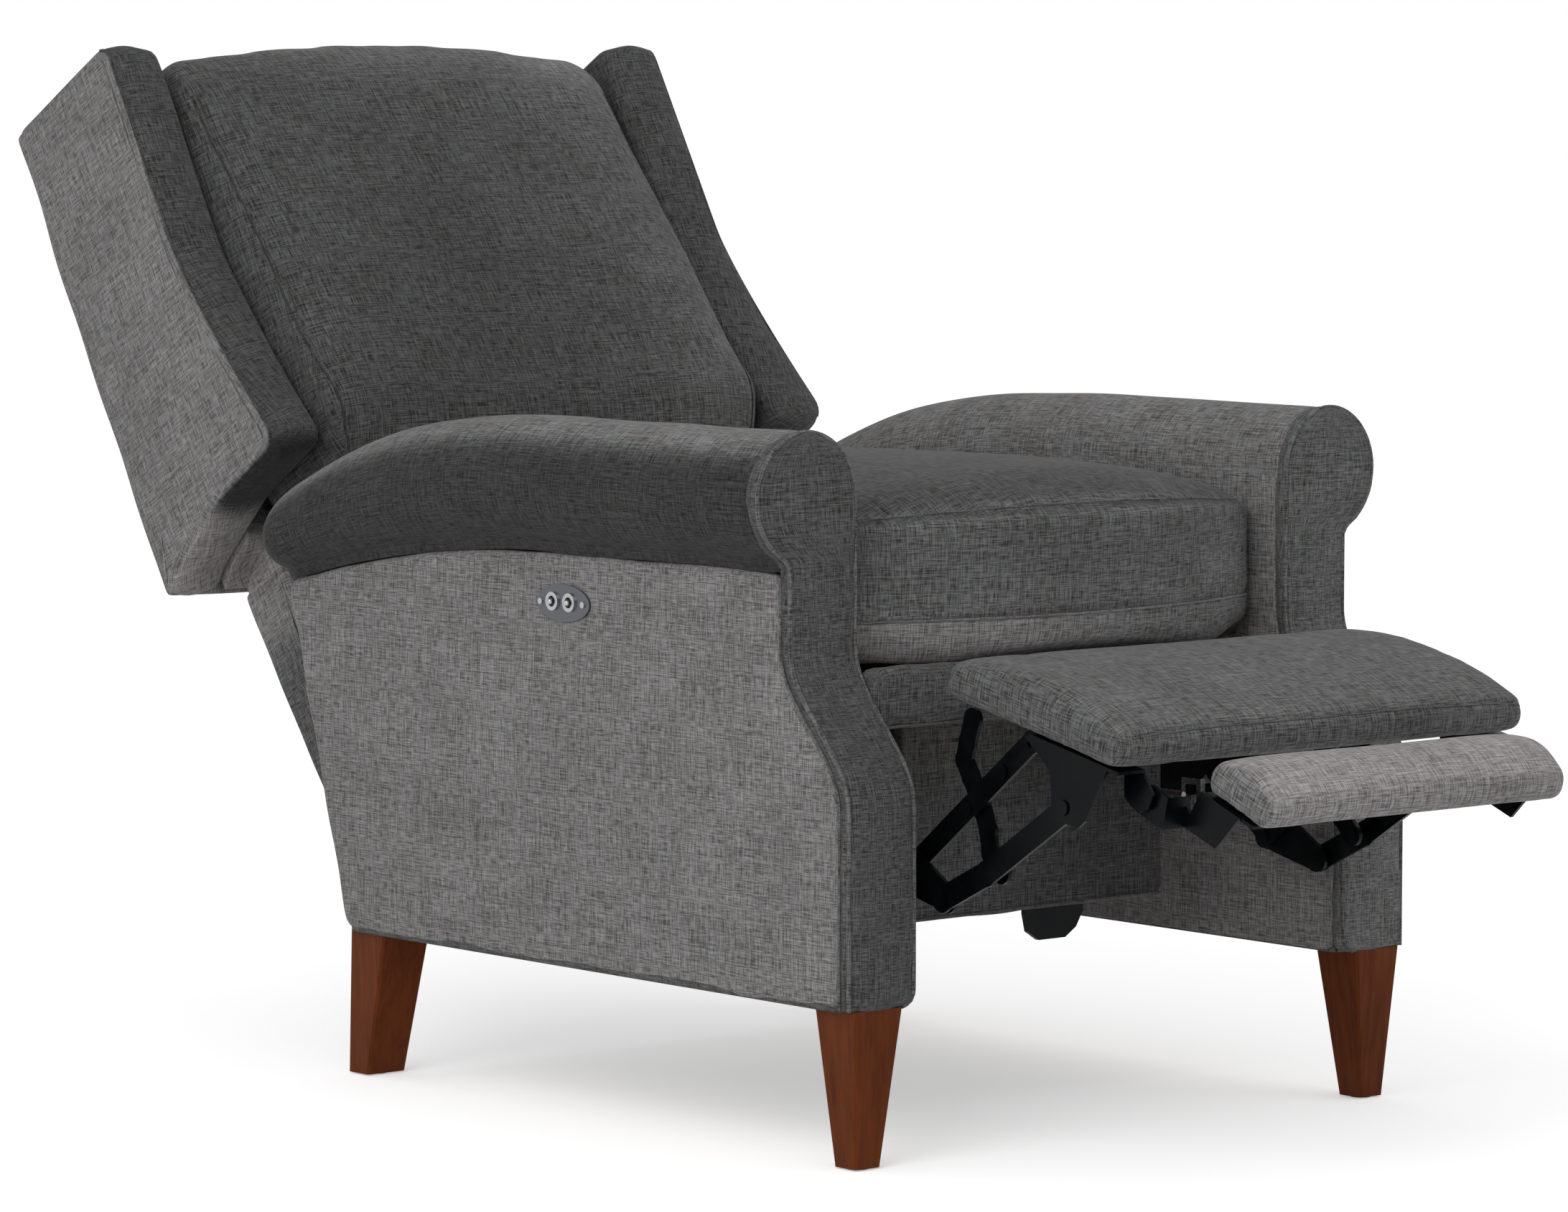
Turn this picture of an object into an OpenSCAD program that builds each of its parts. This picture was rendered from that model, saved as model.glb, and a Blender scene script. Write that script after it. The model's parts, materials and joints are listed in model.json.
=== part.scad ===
// High-leg recliner with rolled arms, a wing back and a two-part footrest.
// It is drawn reclined with the footrest out. The front of the chair faces -Y.
// Lengths are in millimetres and angles in degrees.

/* [Arms] */
// Height of the arm bottoms above the floor
leg_h = 146; // [110:1:180]
// Distance from the centre plane to the inside face of an arm
arm_in = 270; // [262:1:300]
// Thickness of an arm below its roll
arm_w = 82; // [70:1:95]
// Width of the padded roll on top of an arm
roll_w = 121; // [110:1:130]
// Height of the arm top above the floor
arm_top = 660; // [650:1:675]
// Height of the seam under the roll at the front
seam_z = 534; // [528:1:540]
// How far the arm top drops towards its rear end
arm_drop = 104; // [60:1:110]
// How far the seam under the roll drops towards the rear
seam_drop = 58; // [40:1:64]
// Rear end of the arm roll
roll_rear = 854; // [840:1:870]
// Rear end of the arm bottom
arm_rear = 742; // [735:1:760]
// Front face of the arm below its curve
front_low = -9; // [-14:1:-4]
// Front face of the arm beside its roll
front_high = 72; // [60:1:78]
// Height at which the front curve begins
curve_z0 = 325; // [305:1:335]
// Height at which the front curve ends
curve_z1 = 465; // [450:1:480]
// Thickness of the padded front panel along Y
front_t = 22; // [16:1:24]
// Thickness of the side and inside panels
panel_t = 18; // [14:1:20]

/* [Legs] */
// Width of a front foot
foot_w = 30; // [24:1:36]
// Width of a leg at its top
leg_top_w = 57; // [50:1:60]
// Distance from the centre plane to the outer face of a foot
foot_x = 335; // [325:1:340]
// Front face of a rear foot
rear_foot_y = 728; // [715:1:735]
// Depth of a rear foot
rear_foot_d = 32; // [28:1:40]
// Front face of a rear leg at its top
rear_top_y = 687; // [680:1:695]

/* [Seat] */
// Front face of the seat cushion
seat_front = 50; // [44:1:60]
// Rear face of the seat cushion
seat_rear = 655; // [630:1:660]
// How far the ends of the cushion's front lie behind its middle
seat_bow = 63; // [40:1:66]
// Height of the lower cushion seam
seat_z0 = 475; // [470:1:480]
// Height of the upper cushion seam
seat_z1 = 578; // [560:1:590]
// Height of the crown above the upper seam
seat_crown = 44; // [25:1:50]
// How far the cushion sides draw in between the corners
draw_in = 8; // [3:1:14]

/* [Back] */
// Place of the recline hinge along the chair
hinge_y = 720; // [715:1:725]
// Height of the recline hinge
hinge_z = 300; // [295:1:305]
// Lean of the back from upright in the drawn position
lean = 29.5; // [26:0.5:31]
// Distance from the hinge to the top of the back, along the back
back_top = 818; // [780:1:850]
// Distance from the hinge to the lowest point of the wings, along the back
wing_low = 286; // [280:1:292]
// Depth from the hinge line to the rear face of the back
back_rear = 202; // [196:1:208]
// Distance from the centre plane to the outside of a wing
wing_out = 357; // [345:1:370]
// Thickness of a wing
wing_t = 67; // [55:1:70]
// Height of the back cushion crown
back_crown = 38; // [20:1:42]

/* [Footrest] */
// Rear lower corner of the main pad along the chair
pad_y = -37; // [-42:1:-34]
// Rear lower corner of the main pad above the floor
pad_z = 420; // [417:1:422]
// Slope of the pad down to the front
pad_slope = 12.3; // [10:0.1:14]
// Length of the main pad in front of its rear lower corner
pad_len = 222; // [210:1:226]
// How far the main pad reaches behind that corner
pad_tail = 14; // [8:1:16]
// Thickness of the main pad with its board
pad_t = 54; // [44:1:56]
// Half width of the main pad
pad_half = 260; // [252:1:262]
// Half width of the flipper pad
flip_half = 190; // [160:1:192]
// Length of the flipper pad from rear to front
flip_len = 86; // [70:1:88]
// Thickness of the flipper pad with its board
flip_t = 45; // [38:1:47]
// Slope of the flipper pad against the main pad
flip_tilt = 10.5; // [6:0.5:12]

/* [Mechanism] */
// Thickness of the steel links
link_t = 4; // [3:0.5:4]
// Width of the steel links
link_w = 24; // [18:1:26]
// Radius of the link pins
pin_r = 4; // [3:0.5:5]
// Radial running clearance of the pins
run_gap = 0.08; // [0.05:0.01:0.1]
// Radius of the round steel tubes
tube_r = 8; // [7:0.5:9]
// Stroke reserve of the slotted rod ends
slot_gap = 0.4; // [0.3:0.1:0.6]

/* [Switch] */
// Length of the oval switch plate
plate_l = 79; // [76:1:88]
// Height of the oval switch plate
plate_h = 35; // [34:1:40]
// Distance between the two toggles
toggle_pitch = 25; // [22:1:28]

/* [Hidden] */
$fn = 48;
gap = 0.3;
fabric_dark = [0.27, 0.27, 0.28];
fabric_light = [0.52, 0.50, 0.50];
wood = [0.42, 0.17, 0.07];
ply = [0.76, 0.62, 0.44];
black_steel = [0.05, 0.05, 0.06];
bright_steel = [0.62, 0.63, 0.65];

// Arm sizes that follow from the driving ones
arm_out = arm_in + arm_w;
roll_r = roll_w / 2;
roll_x = arm_in + roll_r;
core_x0 = arm_in + panel_t + gap;
core_x1 = arm_out - panel_t - gap;
board_t = 18;
board_x0 = (arm_in + arm_out) / 2 - board_t / 2;
rail_h = 40;
top_rail_z = 400;
roll_bend_y = 350;
seam_bend_y = 400;
front_corner_r = 14;

// Corners of the arm's rear edge above its bottom
rear_mid = [arm_rear + 38, 292];
rear_top = [arm_rear + 93, 484];

// Heights and depths of the arm as functions along the chair
function ease(t) = (1 - cos(180 * min(1, max(0, t)))) / 2;
function front_y(z) = front_low + (front_high - front_low) * ease((z - curve_z0) / (curve_z1 - curve_z0));
function seam_at(y) = seam_z - seam_drop * pow(max(0, (y - seam_bend_y) / (roll_rear - seam_bend_y)), 2);
function top_at(y) = arm_top - arm_drop * pow(max(0, (y - roll_bend_y) / (roll_rear - roll_bend_y)), 3);

// Places of the link pivots with the footrest out
drive_y = 155;
drive_z = 340;
foot_pivot = [-10, 239];
cross_pivot = [-69, 268];
stay_foot = [54.63, 254.62];
cross_head = [-30, 402];
lift_u = 153.5;
lift_v = -51.5;
stay_u = 82.8;
stay_v = -13.7;
flip_u = 216;
flip_v = -24.4;

// Planes of the steel parts, as distances of their inner faces from the centre plane
plate_x = 256;
bracket_x = 244;
bracket_t = 3;
lift_x = 238;
drive_x = 232;
stay_x = 226;
cross_x = 220;
ear_x = 214;
flip_x = 208;
hinge_plate_x = 245.3;
head_t = 1.5;
head_r = 7;

// The recline crank, measured from the hinge along and across the back
crank_up = -81.4;
crank_back = 18.5;

// Heights of the motors and the places of their tubes
recline_axis_z = 218.4;
footrest_axis_z = 288.4;
footrest_axis_x = 190;
tube_front = [320, 245];
tube_rear = [600, 262];
crank_r = 60;
crank_angle = 226.1;

// Switch place on the right arm
switch_y = 396;
switch_z = 487;

// Front and rear ends of the chair give the middle of its footprint
pad_front_y = pad_y - (pad_len + 37 + flip_len) * cos(pad_slope);
back_rear_y = hinge_y + back_top * sin(lean) + back_rear * cos(lean);
mid_y = (pad_front_y + back_rear_y) / 2;

// Points along a circular arc
function arc(c, r, a0, a1, n) = [for (i = [0 : n]) [c[0] + r * cos(a0 + (a1 - a0) * i / n), c[1] + r * sin(a0 + (a1 - a0) * i / n)]];

// A closed solid through rings that each hold the same number of points, in either sense
module loft(rings) {
    n = len(rings);
    m = len(rings[0]);
    c0 = centre(rings[0]);
    c1 = centre(rings[n - 1]);
    points = concat([for (r = rings) each r], [c0, c1]);
    sides = [for (i = [0 : n - 2]) for (j = [0 : m - 1]) for (t = quad(i, j, m)) t];
    first = [for (j = [0 : m - 1]) [n * m, j, (j + 1) % m]];
    last = [for (j = [0 : m - 1]) [n * m + 1, (n - 1) * m + (j + 1) % m, (n - 1) * m + j]];
    faces = concat(sides, first, last);
    inside_out = facing(rings[0]) * (c1 - c0) < 0;
    polyhedron(points = points, faces = inside_out ? [for (t = faces) [t[2], t[1], t[0]]] : faces, convexity = 6);
}
function mean(v) = v * [for (x = v) 1] / len(v);
function centre(r) = [for (k = [0 : 2]) mean([for (p = r) p[k]])];
// The direction that a ring faces by the right-hand rule
function facing(r) = centre([for (j = [0 : len(r) - 1]) cross(r[j] - r[0], r[(j + 1) % len(r)] - r[0])]);
function quad(i, j, m) = [
    [i * m + j, (i + 1) * m + j, (i + 1) * m + (j + 1) % m],
    [i * m + j, (i + 1) * m + (j + 1) % m, i * m + (j + 1) % m]
];

// Everything is drawn from the front feet and then moved to the middle of the footprint
module placed() {
    translate([0, -mid_y, 0]) children();
}
module left_or_right(side) {
    if (side < 0) mirror([1, 0, 0]) children();
    else children();
}
module both_sides() {
    children();
    mirror([1, 0, 0]) children();
}
// An outline in Y and Z pushed along X
module x_prism(x0, x1) {
    translate([x0, 0, 0]) rotate([90, 0, 90]) linear_extrude(x1 - x0) children();
}
// An outline in X and Z pushed along Y
module y_prism(y0, y1) {
    translate([0, y1, 0]) rotate([90, 0, 0]) linear_extrude(y1 - y0) children();
}
module x_rod(x0, x1, at, r) {
    translate([x0, at[0], at[1]]) rotate([0, 90, 0]) cylinder(h = x1 - x0, r = r);
}
module y_rod(y0, y1, x, z, r) {
    translate([x, y0, z]) rotate([-90, 0, 0]) cylinder(h = y1 - y0, r = r);
}
module block(a, b) {
    translate(a) cube(b - a);
}

// Arms

// Heights at which the curved front is drawn, so that the faces behind it match it
curve_heights = concat([leg_h], [for (i = [0 : 9]) curve_z0 + (curve_z1 - curve_z0) * i / 9]);
module arm_outline(inset) {
    front = [for (z = concat(curve_heights, [seam_z])) [front_y(z) + inset, z]];
    top = [for (i = [1 : 8]) let (y = front_high + (rear_top[0] - front_high) * i / 8) [y, seam_at(y)]];
    polygon(concat(front, top, [rear_mid, [arm_rear, leg_h]]));
}
module arm_frame(side) {
    color(ply) placed() left_or_right(side) difference() {
        union() {
            intersection() {
                x_prism(board_x0, board_x0 + board_t) arm_outline(front_t + gap);
                block([0, 0, leg_h], [arm_out, arm_rear - 20, seam_at(arm_rear - 20) - gap]);
            }
            block([core_x0, front_high + front_t, leg_h], [core_x1, arm_rear - 20, leg_h + rail_h]);
            block([core_x0, front_low + front_t + gap, leg_h], [core_x1, front_high + front_t + 1, leg_h + rail_h]);
            block([core_x0, front_high + front_t + gap, top_rail_z], [core_x1, arm_rear - 20, top_rail_z + rail_h]);
        }
        frame_bolt_holes();
        leg_bolt_holes();
    }
}
module arm_side(side) {
    color(fabric_light) placed() left_or_right(side) difference() {
        x_prism(arm_out - panel_t, arm_out) arm_outline(front_t + gap);
        if (side < 0) switch_opening();
    }
}
module arm_inside(side) {
    color(fabric_dark) placed() left_or_right(side) difference() {
        x_prism(arm_in, arm_in + panel_t) arm_outline(front_t + gap);
        frame_bolt_holes();
    }
}
// One ring of the roll, from its outer lower edge over the top to the inside face
function roll_ring(y, shrink) =
    let (z0 = seam_at(y) + gap, z1 = top_at(y), rv = (z1 - z0) * 0.48, zc = z1 - rv, mid = [roll_x, (z0 + z1) / 2])
    [for (p = concat([[arm_out, z0]], [for (a = [-64 : 20.333 : 180.1]) [roll_x + roll_r * cos(a), zc + rv * sin(a)]], [[arm_in, z0]]))
        [mid[0] + (p[0] - mid[0]) * shrink, y, z0 + (p[1] - z0) * shrink]];
module arm_roll(side) {
    y0 = front_high + front_t + gap;
    bend = [for (i = [0 : 9]) roll_bend_y + (roll_rear - 24 - roll_bend_y) * i / 9];
    color(fabric_dark) placed() left_or_right(side)
        loft(concat([roll_ring(y0, 1)], [for (y = bend) roll_ring(y, 1)],
            [roll_ring(roll_rear - 8, 0.93), roll_ring(roll_rear, 0.78)]));
}
module arm_front(side) {
    heights = concat(curve_heights, [arm_top]);
    strip = concat([for (z = heights) [front_y(z), z]],
        [for (i = [len(heights) - 1 : -1 : 0]) [front_y(heights[i]) + front_t, heights[i]]]);
    waist = asin((arm_out - roll_x) / roll_r) - 90;
    keyhole = concat([[arm_out, leg_h]], arc([roll_x, arm_top - roll_r], roll_r, waist, 180, 18),
        arc([arm_in + front_corner_r, leg_h + front_corner_r], front_corner_r, 180, 270, 6));
    color(fabric_dark) placed() left_or_right(side) intersection() {
        x_prism(arm_in - 1, arm_in + roll_w + 1) polygon(strip);
        y_prism(-60, 140) polygon(keyhole);
    }
}

// Legs

leg_in = foot_x + 10 - leg_top_w;
function leg_ring(x0, x1, y0, y1, z) = [[x0, y0, z], [x0, y1, z], [x1, y1, z], [x1, y0, z]];
front_leg_top_y = -11;
glide_h = 5;
glide_r = 10;
glide_proud = 1.5;
bolt_r = 4;
bolt_up = 30;
bolt_down = 40;
front_foot_c = [foot_x - foot_w / 2, foot_w / 2];
rear_foot_c = [foot_x - 23, rear_foot_y + rear_foot_d / 2];
front_bolt_c = [leg_in + leg_top_w / 2, front_leg_top_y + leg_top_w / 2];
rear_bolt_c = [leg_in + leg_top_w / 2, rear_top_y + 27];
module leg_bolt_holes() {
    for (c = [front_bolt_c, rear_bolt_c])
        translate([c[0], c[1], leg_h - bolt_down]) cylinder(h = bolt_down + bolt_up + 0.5, r = bolt_r + run_gap);
}
module leg(side, rings, foot_c, bolt_c) {
    color(wood) placed() left_or_right(side) difference() {
        loft(rings);
        translate([foot_c[0], foot_c[1], -1]) cylinder(h = glide_h + 1, r = glide_r + run_gap);
        translate([bolt_c[0], bolt_c[1], leg_h - bolt_down - 0.5]) cylinder(h = bolt_down + 1, r = bolt_r + run_gap);
    }
}
module leg_front(side) {
    leg(side, [
        leg_ring(foot_x - foot_w, foot_x, 0, foot_w, glide_proud),
        leg_ring(leg_in, foot_x + 10, front_leg_top_y, front_leg_top_y + leg_top_w, leg_h)
    ], front_foot_c, front_bolt_c);
}
module leg_rear(side) {
    leg(side, [
        leg_ring(foot_x - 46, foot_x, rear_foot_y, rear_foot_y + rear_foot_d, glide_proud),
        leg_ring(leg_in, foot_x + 10, rear_top_y, rear_top_y + leg_top_w - 2, leg_h)
    ], rear_foot_c, rear_bolt_c);
}
module leg_bolts() {
    color(bright_steel) placed() both_sides() for (c = [front_bolt_c, rear_bolt_c])
        translate([c[0], c[1], leg_h - bolt_down]) cylinder(h = bolt_down + bolt_up, r = bolt_r);
}
module leg_glides() {
    color(black_steel) placed() both_sides() for (c = [front_foot_c, rear_foot_c])
        translate([c[0], c[1], 0]) cylinder(h = glide_h, r = glide_r);
}

// Panels and rails between the arms

band_z0 = 389;
band_z1 = 443;
band_y0 = 52;
band_y1 = 75;
beam_z0 = band_z0;
beam_z1 = 417;
apron_y = 131;
apron_t = 12;
apron_half = 165;
apron_z0 = 196;
rail_y = 700;
rail_t = 30;
module front_band() {
    color(fabric_dark) placed() block([-arm_in + gap, band_y0, band_z0], [arm_in - gap, band_y1, band_z1]);
}
module front_beam() {
    color(ply) placed() block([-plate_x + gap, band_y1 + gap, beam_z0], [plate_x - gap, apron_y - gap, beam_z1]);
}
module front_apron() {
    color(fabric_dark) placed() block([-apron_half, apron_y, apron_z0], [apron_half, apron_y + apron_t, beam_z1]);
}
module rear_rail() {
    color(ply) placed() difference() {
        block([-arm_in + gap, rail_y, leg_h + 4], [arm_in - gap, rail_y + rail_t, leg_h + rail_h + 4]);
        y_rod(rail_y - 1, rail_y + rail_t + 1, inlet_x, inlet_z, inlet_r + run_gap);
    }
}
module centre_foot() {
    shape = [[0, 250], [75, 250], [75, 188], [66, 173], [52, 164], [18, 164], [4, 173], [0, 190]];
    color(black_steel) placed() y_prism(apron_y + apron_t + gap, apron_y + apron_t + gap + 5) polygon(shape);
}

// Steel base of the mechanism

frame_bolts_at = [[143, 408], [300, 275], [520, 275], [655, 345]];
module frame_bolt_holes() {
    for (p = frame_bolts_at) x_rod(plate_x - 1, board_x0 + board_t + 1, p, bolt_r + run_gap);
}
module side_plate(side) {
    outline = [[104, 300], [104, 421], [170, 421], [200, 392], [600, 392], [690, 380], [745, 330], [745, 272],
        [640, 240], [290, 225], [240, 240], [150, 318], [125, 318]];
    color(black_steel) placed() left_or_right(side) {
        difference() {
            x_prism(plate_x, plate_x + link_t) polygon(outline);
            frame_bolt_holes();
            for (t = [tube_front, tube_rear]) x_rod(plate_x - 1, plate_x + link_t + 1, t, tube_r + run_gap);
        }
        base_pin([drive_y, drive_z], drive_x);
        base_pin([hinge_y, hinge_z], hinge_plate_x);
    }
}
// A pin that stands on the side plate and holds a link whose inner face is at link_x
module base_pin(at, link_x) {
    x_rod(link_x - gap - head_t, plate_x + 1, at, pin_r * 1.5);
    x_rod(link_x - gap - head_t, link_x - gap, at, head_r * 1.5);
}
module base_tubes() {
    color(black_steel) placed() for (t = [tube_front, tube_rear])
        x_rod(-plate_x - link_t, plate_x + link_t, t, tube_r);
}
module frame_bolts() {
    color(bright_steel) placed() both_sides() for (p = frame_bolts_at) {
        x_rod(plate_x - 5, plate_x - gap, p, head_r);
        x_rod(plate_x - 1, board_x0 + board_t, p, bolt_r);
        x_rod(plate_x + link_t + gap, arm_in - gap, p, head_r + 2);
    }
}

// Motors: a gear case at the fixed end, a long tube and a sliding rod

motor_r = 18;
motor_y0 = 345;
motor_y1 = 540;
rod_r = 7;
module motor(x, z, fixed_end, rod_end_y, tube) {
    color(black_steel) placed() difference() {
        union() {
            y_rod(motor_y0, motor_y1, x, z, motor_r);
            y_rod(min(fixed_end, rod_end_y), max(fixed_end, rod_end_y), x, z, motor_r + 6);
            block([x - 8, min(fixed_end, tube[0]) - 14, tube[1] - 14], [x + 8, max(fixed_end, tube[0]) + 14, z + 14]);
        }
        y_rod(0, 800, x, z, rod_r + run_gap);
        x_rod(x - 9, x + 9, tube, tube_r + run_gap);
    }
}
module recline_motor() {
    motor(0, recline_axis_z, motor_y0, motor_y0 + 60, tube_front);
}
module footrest_motor() {
    motor(footrest_axis_x, footrest_axis_z, motor_y1, motor_y1 - 60, tube_rear);
}
crank_at = [hinge_y + crank_up * sin(lean) + crank_back * cos(lean), hinge_z + crank_up * cos(lean) - crank_back * sin(lean)];
recline_slot_h = 5.2;
module recline_rod() {
    color(bright_steel) placed() difference() {
        union() {
            y_rod(motor_y0 + 70, crank_at[0] - 16, 0, recline_axis_z, rod_r);
            block([-6, crank_at[0] - 18, recline_axis_z - 17], [6, crank_at[0] + 16, recline_axis_z + 17]);
        }
        block([-7, crank_at[0] - tube_r - slot_gap, recline_axis_z - tube_r - recline_slot_h / 2],
            [7, crank_at[0] + tube_r + slot_gap, recline_axis_z + tube_r + recline_slot_h / 2]);
    }
}
footrest_pin = [drive_y + crank_r * cos(crank_angle), drive_z + crank_r * sin(crank_angle)];
footrest_pin_r = 5;
footrest_slot_h = 18;
module footrest_rod() {
    x = footrest_axis_x;
    y = footrest_pin[0];
    z = footrest_axis_z;
    color(bright_steel) placed() difference() {
        union() {
            y_rod(y + 10, motor_y1 - 80, x, z, rod_r);
            block([x - 3, y - 13, z - 20], [x + 3, y + 13, z + 20]);
        }
        block([x - 4, y - footrest_pin_r - 2.2, z - footrest_pin_r - footrest_slot_h / 2],
            [x + 4, y + footrest_pin_r + 2.2, z + footrest_pin_r + footrest_slot_h / 2]);
    }
}

// Power supply and switch

inlet_x = -130;
inlet_z = leg_h + 22;
inlet_r = 9;
module power_box() {
    color(black_steel) placed() difference() {
        union() {
            block([inlet_x - 50, rail_y - 66, leg_h + 8], [inlet_x + 50, rail_y - gap, leg_h + 38]);
            y_rod(rail_y - 10, rail_y + 36, inlet_x, inlet_z, inlet_r);
        }
        y_rod(rail_y + 20, rail_y + 40, inlet_x, inlet_z, inlet_r - 3);
    }
}
box_l = plate_l - 25;
box_h = plate_h - 11;
box_d = 30;
plate_t = 1.5;
toggle_r = 2.4;
toggle_reach = 3.5;
knob_r = 3;
bezel_r = 8.8;
bezel_neck_r = 6.6;
bezel_bore_r = 5.2;
bezel_h = 2.2;
well_r = 7.1;
screw_r = 1.5;
screw_head_r = 3;
toggle_z = switch_z + 1;
toggle_ys = [switch_y - toggle_pitch / 2 + 2, switch_y + toggle_pitch / 2 + 2];
screw_ys = [switch_y - plate_l / 2 + 9.5, switch_y + plate_l / 2 - 6.5];
plate_face = arm_out + gap;
toggle_pivot_x = arm_out - 6;
toggle_pin_l = 18;
toggle_pin_r = 1.2;
module switch_opening() {
    block([arm_out - panel_t - 1, switch_y - box_l / 2 - gap, switch_z - box_h / 2 - gap],
        [arm_out + 1, switch_y + box_l / 2 + gap, switch_z + box_h / 2 + gap]);
    for (y = screw_ys) x_rod(arm_out - 12, arm_out + 1, [y, switch_z], screw_r + run_gap);
}
// A flat oval in Y and Z
module oval(l, h) {
    translate([switch_y, switch_z]) scale([l / h, 1]) circle(d = h, $fn = 72);
}
module switch_plate() {
    color(bright_steel) placed() left_or_right(-1) difference() {
        x_prism(plate_face, plate_face + plate_t) oval(plate_l, plate_h);
        for (y = toggle_ys) x_rod(plate_face - 1, plate_face + 3, [y, toggle_z], bezel_neck_r + run_gap);
        for (y = screw_ys) x_rod(plate_face - 1, plate_face + 3, [y, switch_z], screw_r + run_gap);
    }
}
module switch_box() {
    color(black_steel) placed() left_or_right(-1) difference() {
        block([arm_out - box_d, switch_y - box_l / 2, switch_z - box_h / 2],
            [arm_out, switch_y + box_l / 2, switch_z + box_h / 2]);
        for (y = toggle_ys) {
            x_rod(arm_out - 14, arm_out + 1, [y, toggle_z], well_r);
            y_rod(y - toggle_pin_l / 2 - gap, y + toggle_pin_l / 2 + gap, toggle_pivot_x, toggle_z, toggle_pin_r + run_gap);
        }
    }
}
module toggle_bezels() {
    color(bright_steel) placed() left_or_right(-1) for (y = toggle_ys) difference() {
        union() {
            x_rod(plate_face + plate_t, plate_face + plate_t + bezel_h, [y, toggle_z], bezel_r);
            x_rod(plate_face - 4, plate_face + plate_t + 1, [y, toggle_z], bezel_neck_r);
        }
        x_rod(plate_face - 5, plate_face + plate_t + bezel_h + 1, [y, toggle_z], bezel_bore_r);
    }
}
module switch_screws() {
    color(bright_steel) placed() left_or_right(-1) for (y = screw_ys) {
        x_rod(arm_out - 10, plate_face + plate_t + 1, [y, switch_z], screw_r);
        x_rod(plate_face + plate_t, plate_face + plate_t + 1.4, [y, switch_z], screw_head_r);
    }
}
module toggle(y) {
    color(bright_steel) placed() left_or_right(-1) {
        x_rod(toggle_pivot_x, plate_face + plate_t + toggle_reach, [y, toggle_z], toggle_r);
        translate([plate_face + plate_t + toggle_reach, y, toggle_z]) sphere(r = knob_r);
        translate([toggle_pivot_x, y, toggle_z]) sphere(r = knob_r);
        y_rod(y - toggle_pin_l / 2, y + toggle_pin_l / 2, toggle_pivot_x, toggle_z, toggle_pin_r);
    }
}

// Seat

deck_z0 = 446;
deck_z1 = seat_z0 - 6;
seat_half = arm_in - 4;
seat_rail_y0 = seat_front + 75;
seat_rail_y1 = seat_rear - 18;
seat_rail_w = 30;
deck_tail = 106;
runner_z0 = 368;
module seat_side_rails() {
    color(ply) placed() both_sides() {
        block([plate_x - gap - 31, seat_rail_y0, deck_z0], [plate_x - gap - 1, seat_rail_y1, deck_z1]);
        block([plate_x - gap - 5, 215, runner_z0], [plate_x - gap, 560, deck_z1 - 6]);
    }
}
module seat_cross_rails() {
    x = plate_x - 32;
    color(ply) placed() {
        block([-x, seat_rail_y0, deck_z0], [x, seat_rail_y0 + seat_rail_w, deck_z1]);
        block([-x, seat_rail_y1 - seat_rail_w, deck_z0], [x, seat_rail_y1 + deck_tail, deck_z1]);
    }
}
// A zigzag spring wire along its first axis
module zigzag(l, pitch, swing, wire) {
    n = floor(l / pitch);
    p = l / n;
    path = [for (i = [0 : n]) [i * p, (i % 2 == 0 ? 1 : -1) * swing]];
    polygon(concat([for (q = path) [q[0], q[1] + wire]], [for (i = [n : -1 : 0]) [path[i][0], path[i][1] - wire]]));
}
module seat_springs() {
    l = seat_rail_y1 - seat_rail_y0 - 2 * seat_rail_w;
    color(bright_steel) placed() for (x = [-160 : 80 : 160])
        translate([x, seat_rail_y0 + seat_rail_w, deck_z1 - 6]) rotate([0, 0, 90]) linear_extrude(3.5) zigzag(l, 24, 18, 2.6);
}
// The padded underside follows the bowed front and stays above the band while the seat glides
lip_half = plate_x - 3;
lip_slope = 0.65;
function bow_at(x) = seat_bow * pow(x / seat_half, 2);
function lip_low(y) = band_z1 + 1 + lip_slope * max(0, band_y1 + gap - y);
function lip_ring(x) = let (y0 = seat_front + 4 + bow_at(x), y1 = seat_rail_y0 - gap, y2 = y0 + 7, y3 = y2 + (y1 - y2) * 0.35)
    [for (p = [[y0, deck_z1], [y0, lip_low(y0) + 3], [y2, lip_low(y2)], [y3, lip_low(y3)], [y1, lip_low(y1)], [y1, deck_z1]])
        [x, p[0], p[1]]];
module seat_lip() {
    color(fabric_light) placed() loft([for (i = [-6 : 6]) lip_ring(lip_half * i / 6)]);
}
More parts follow.
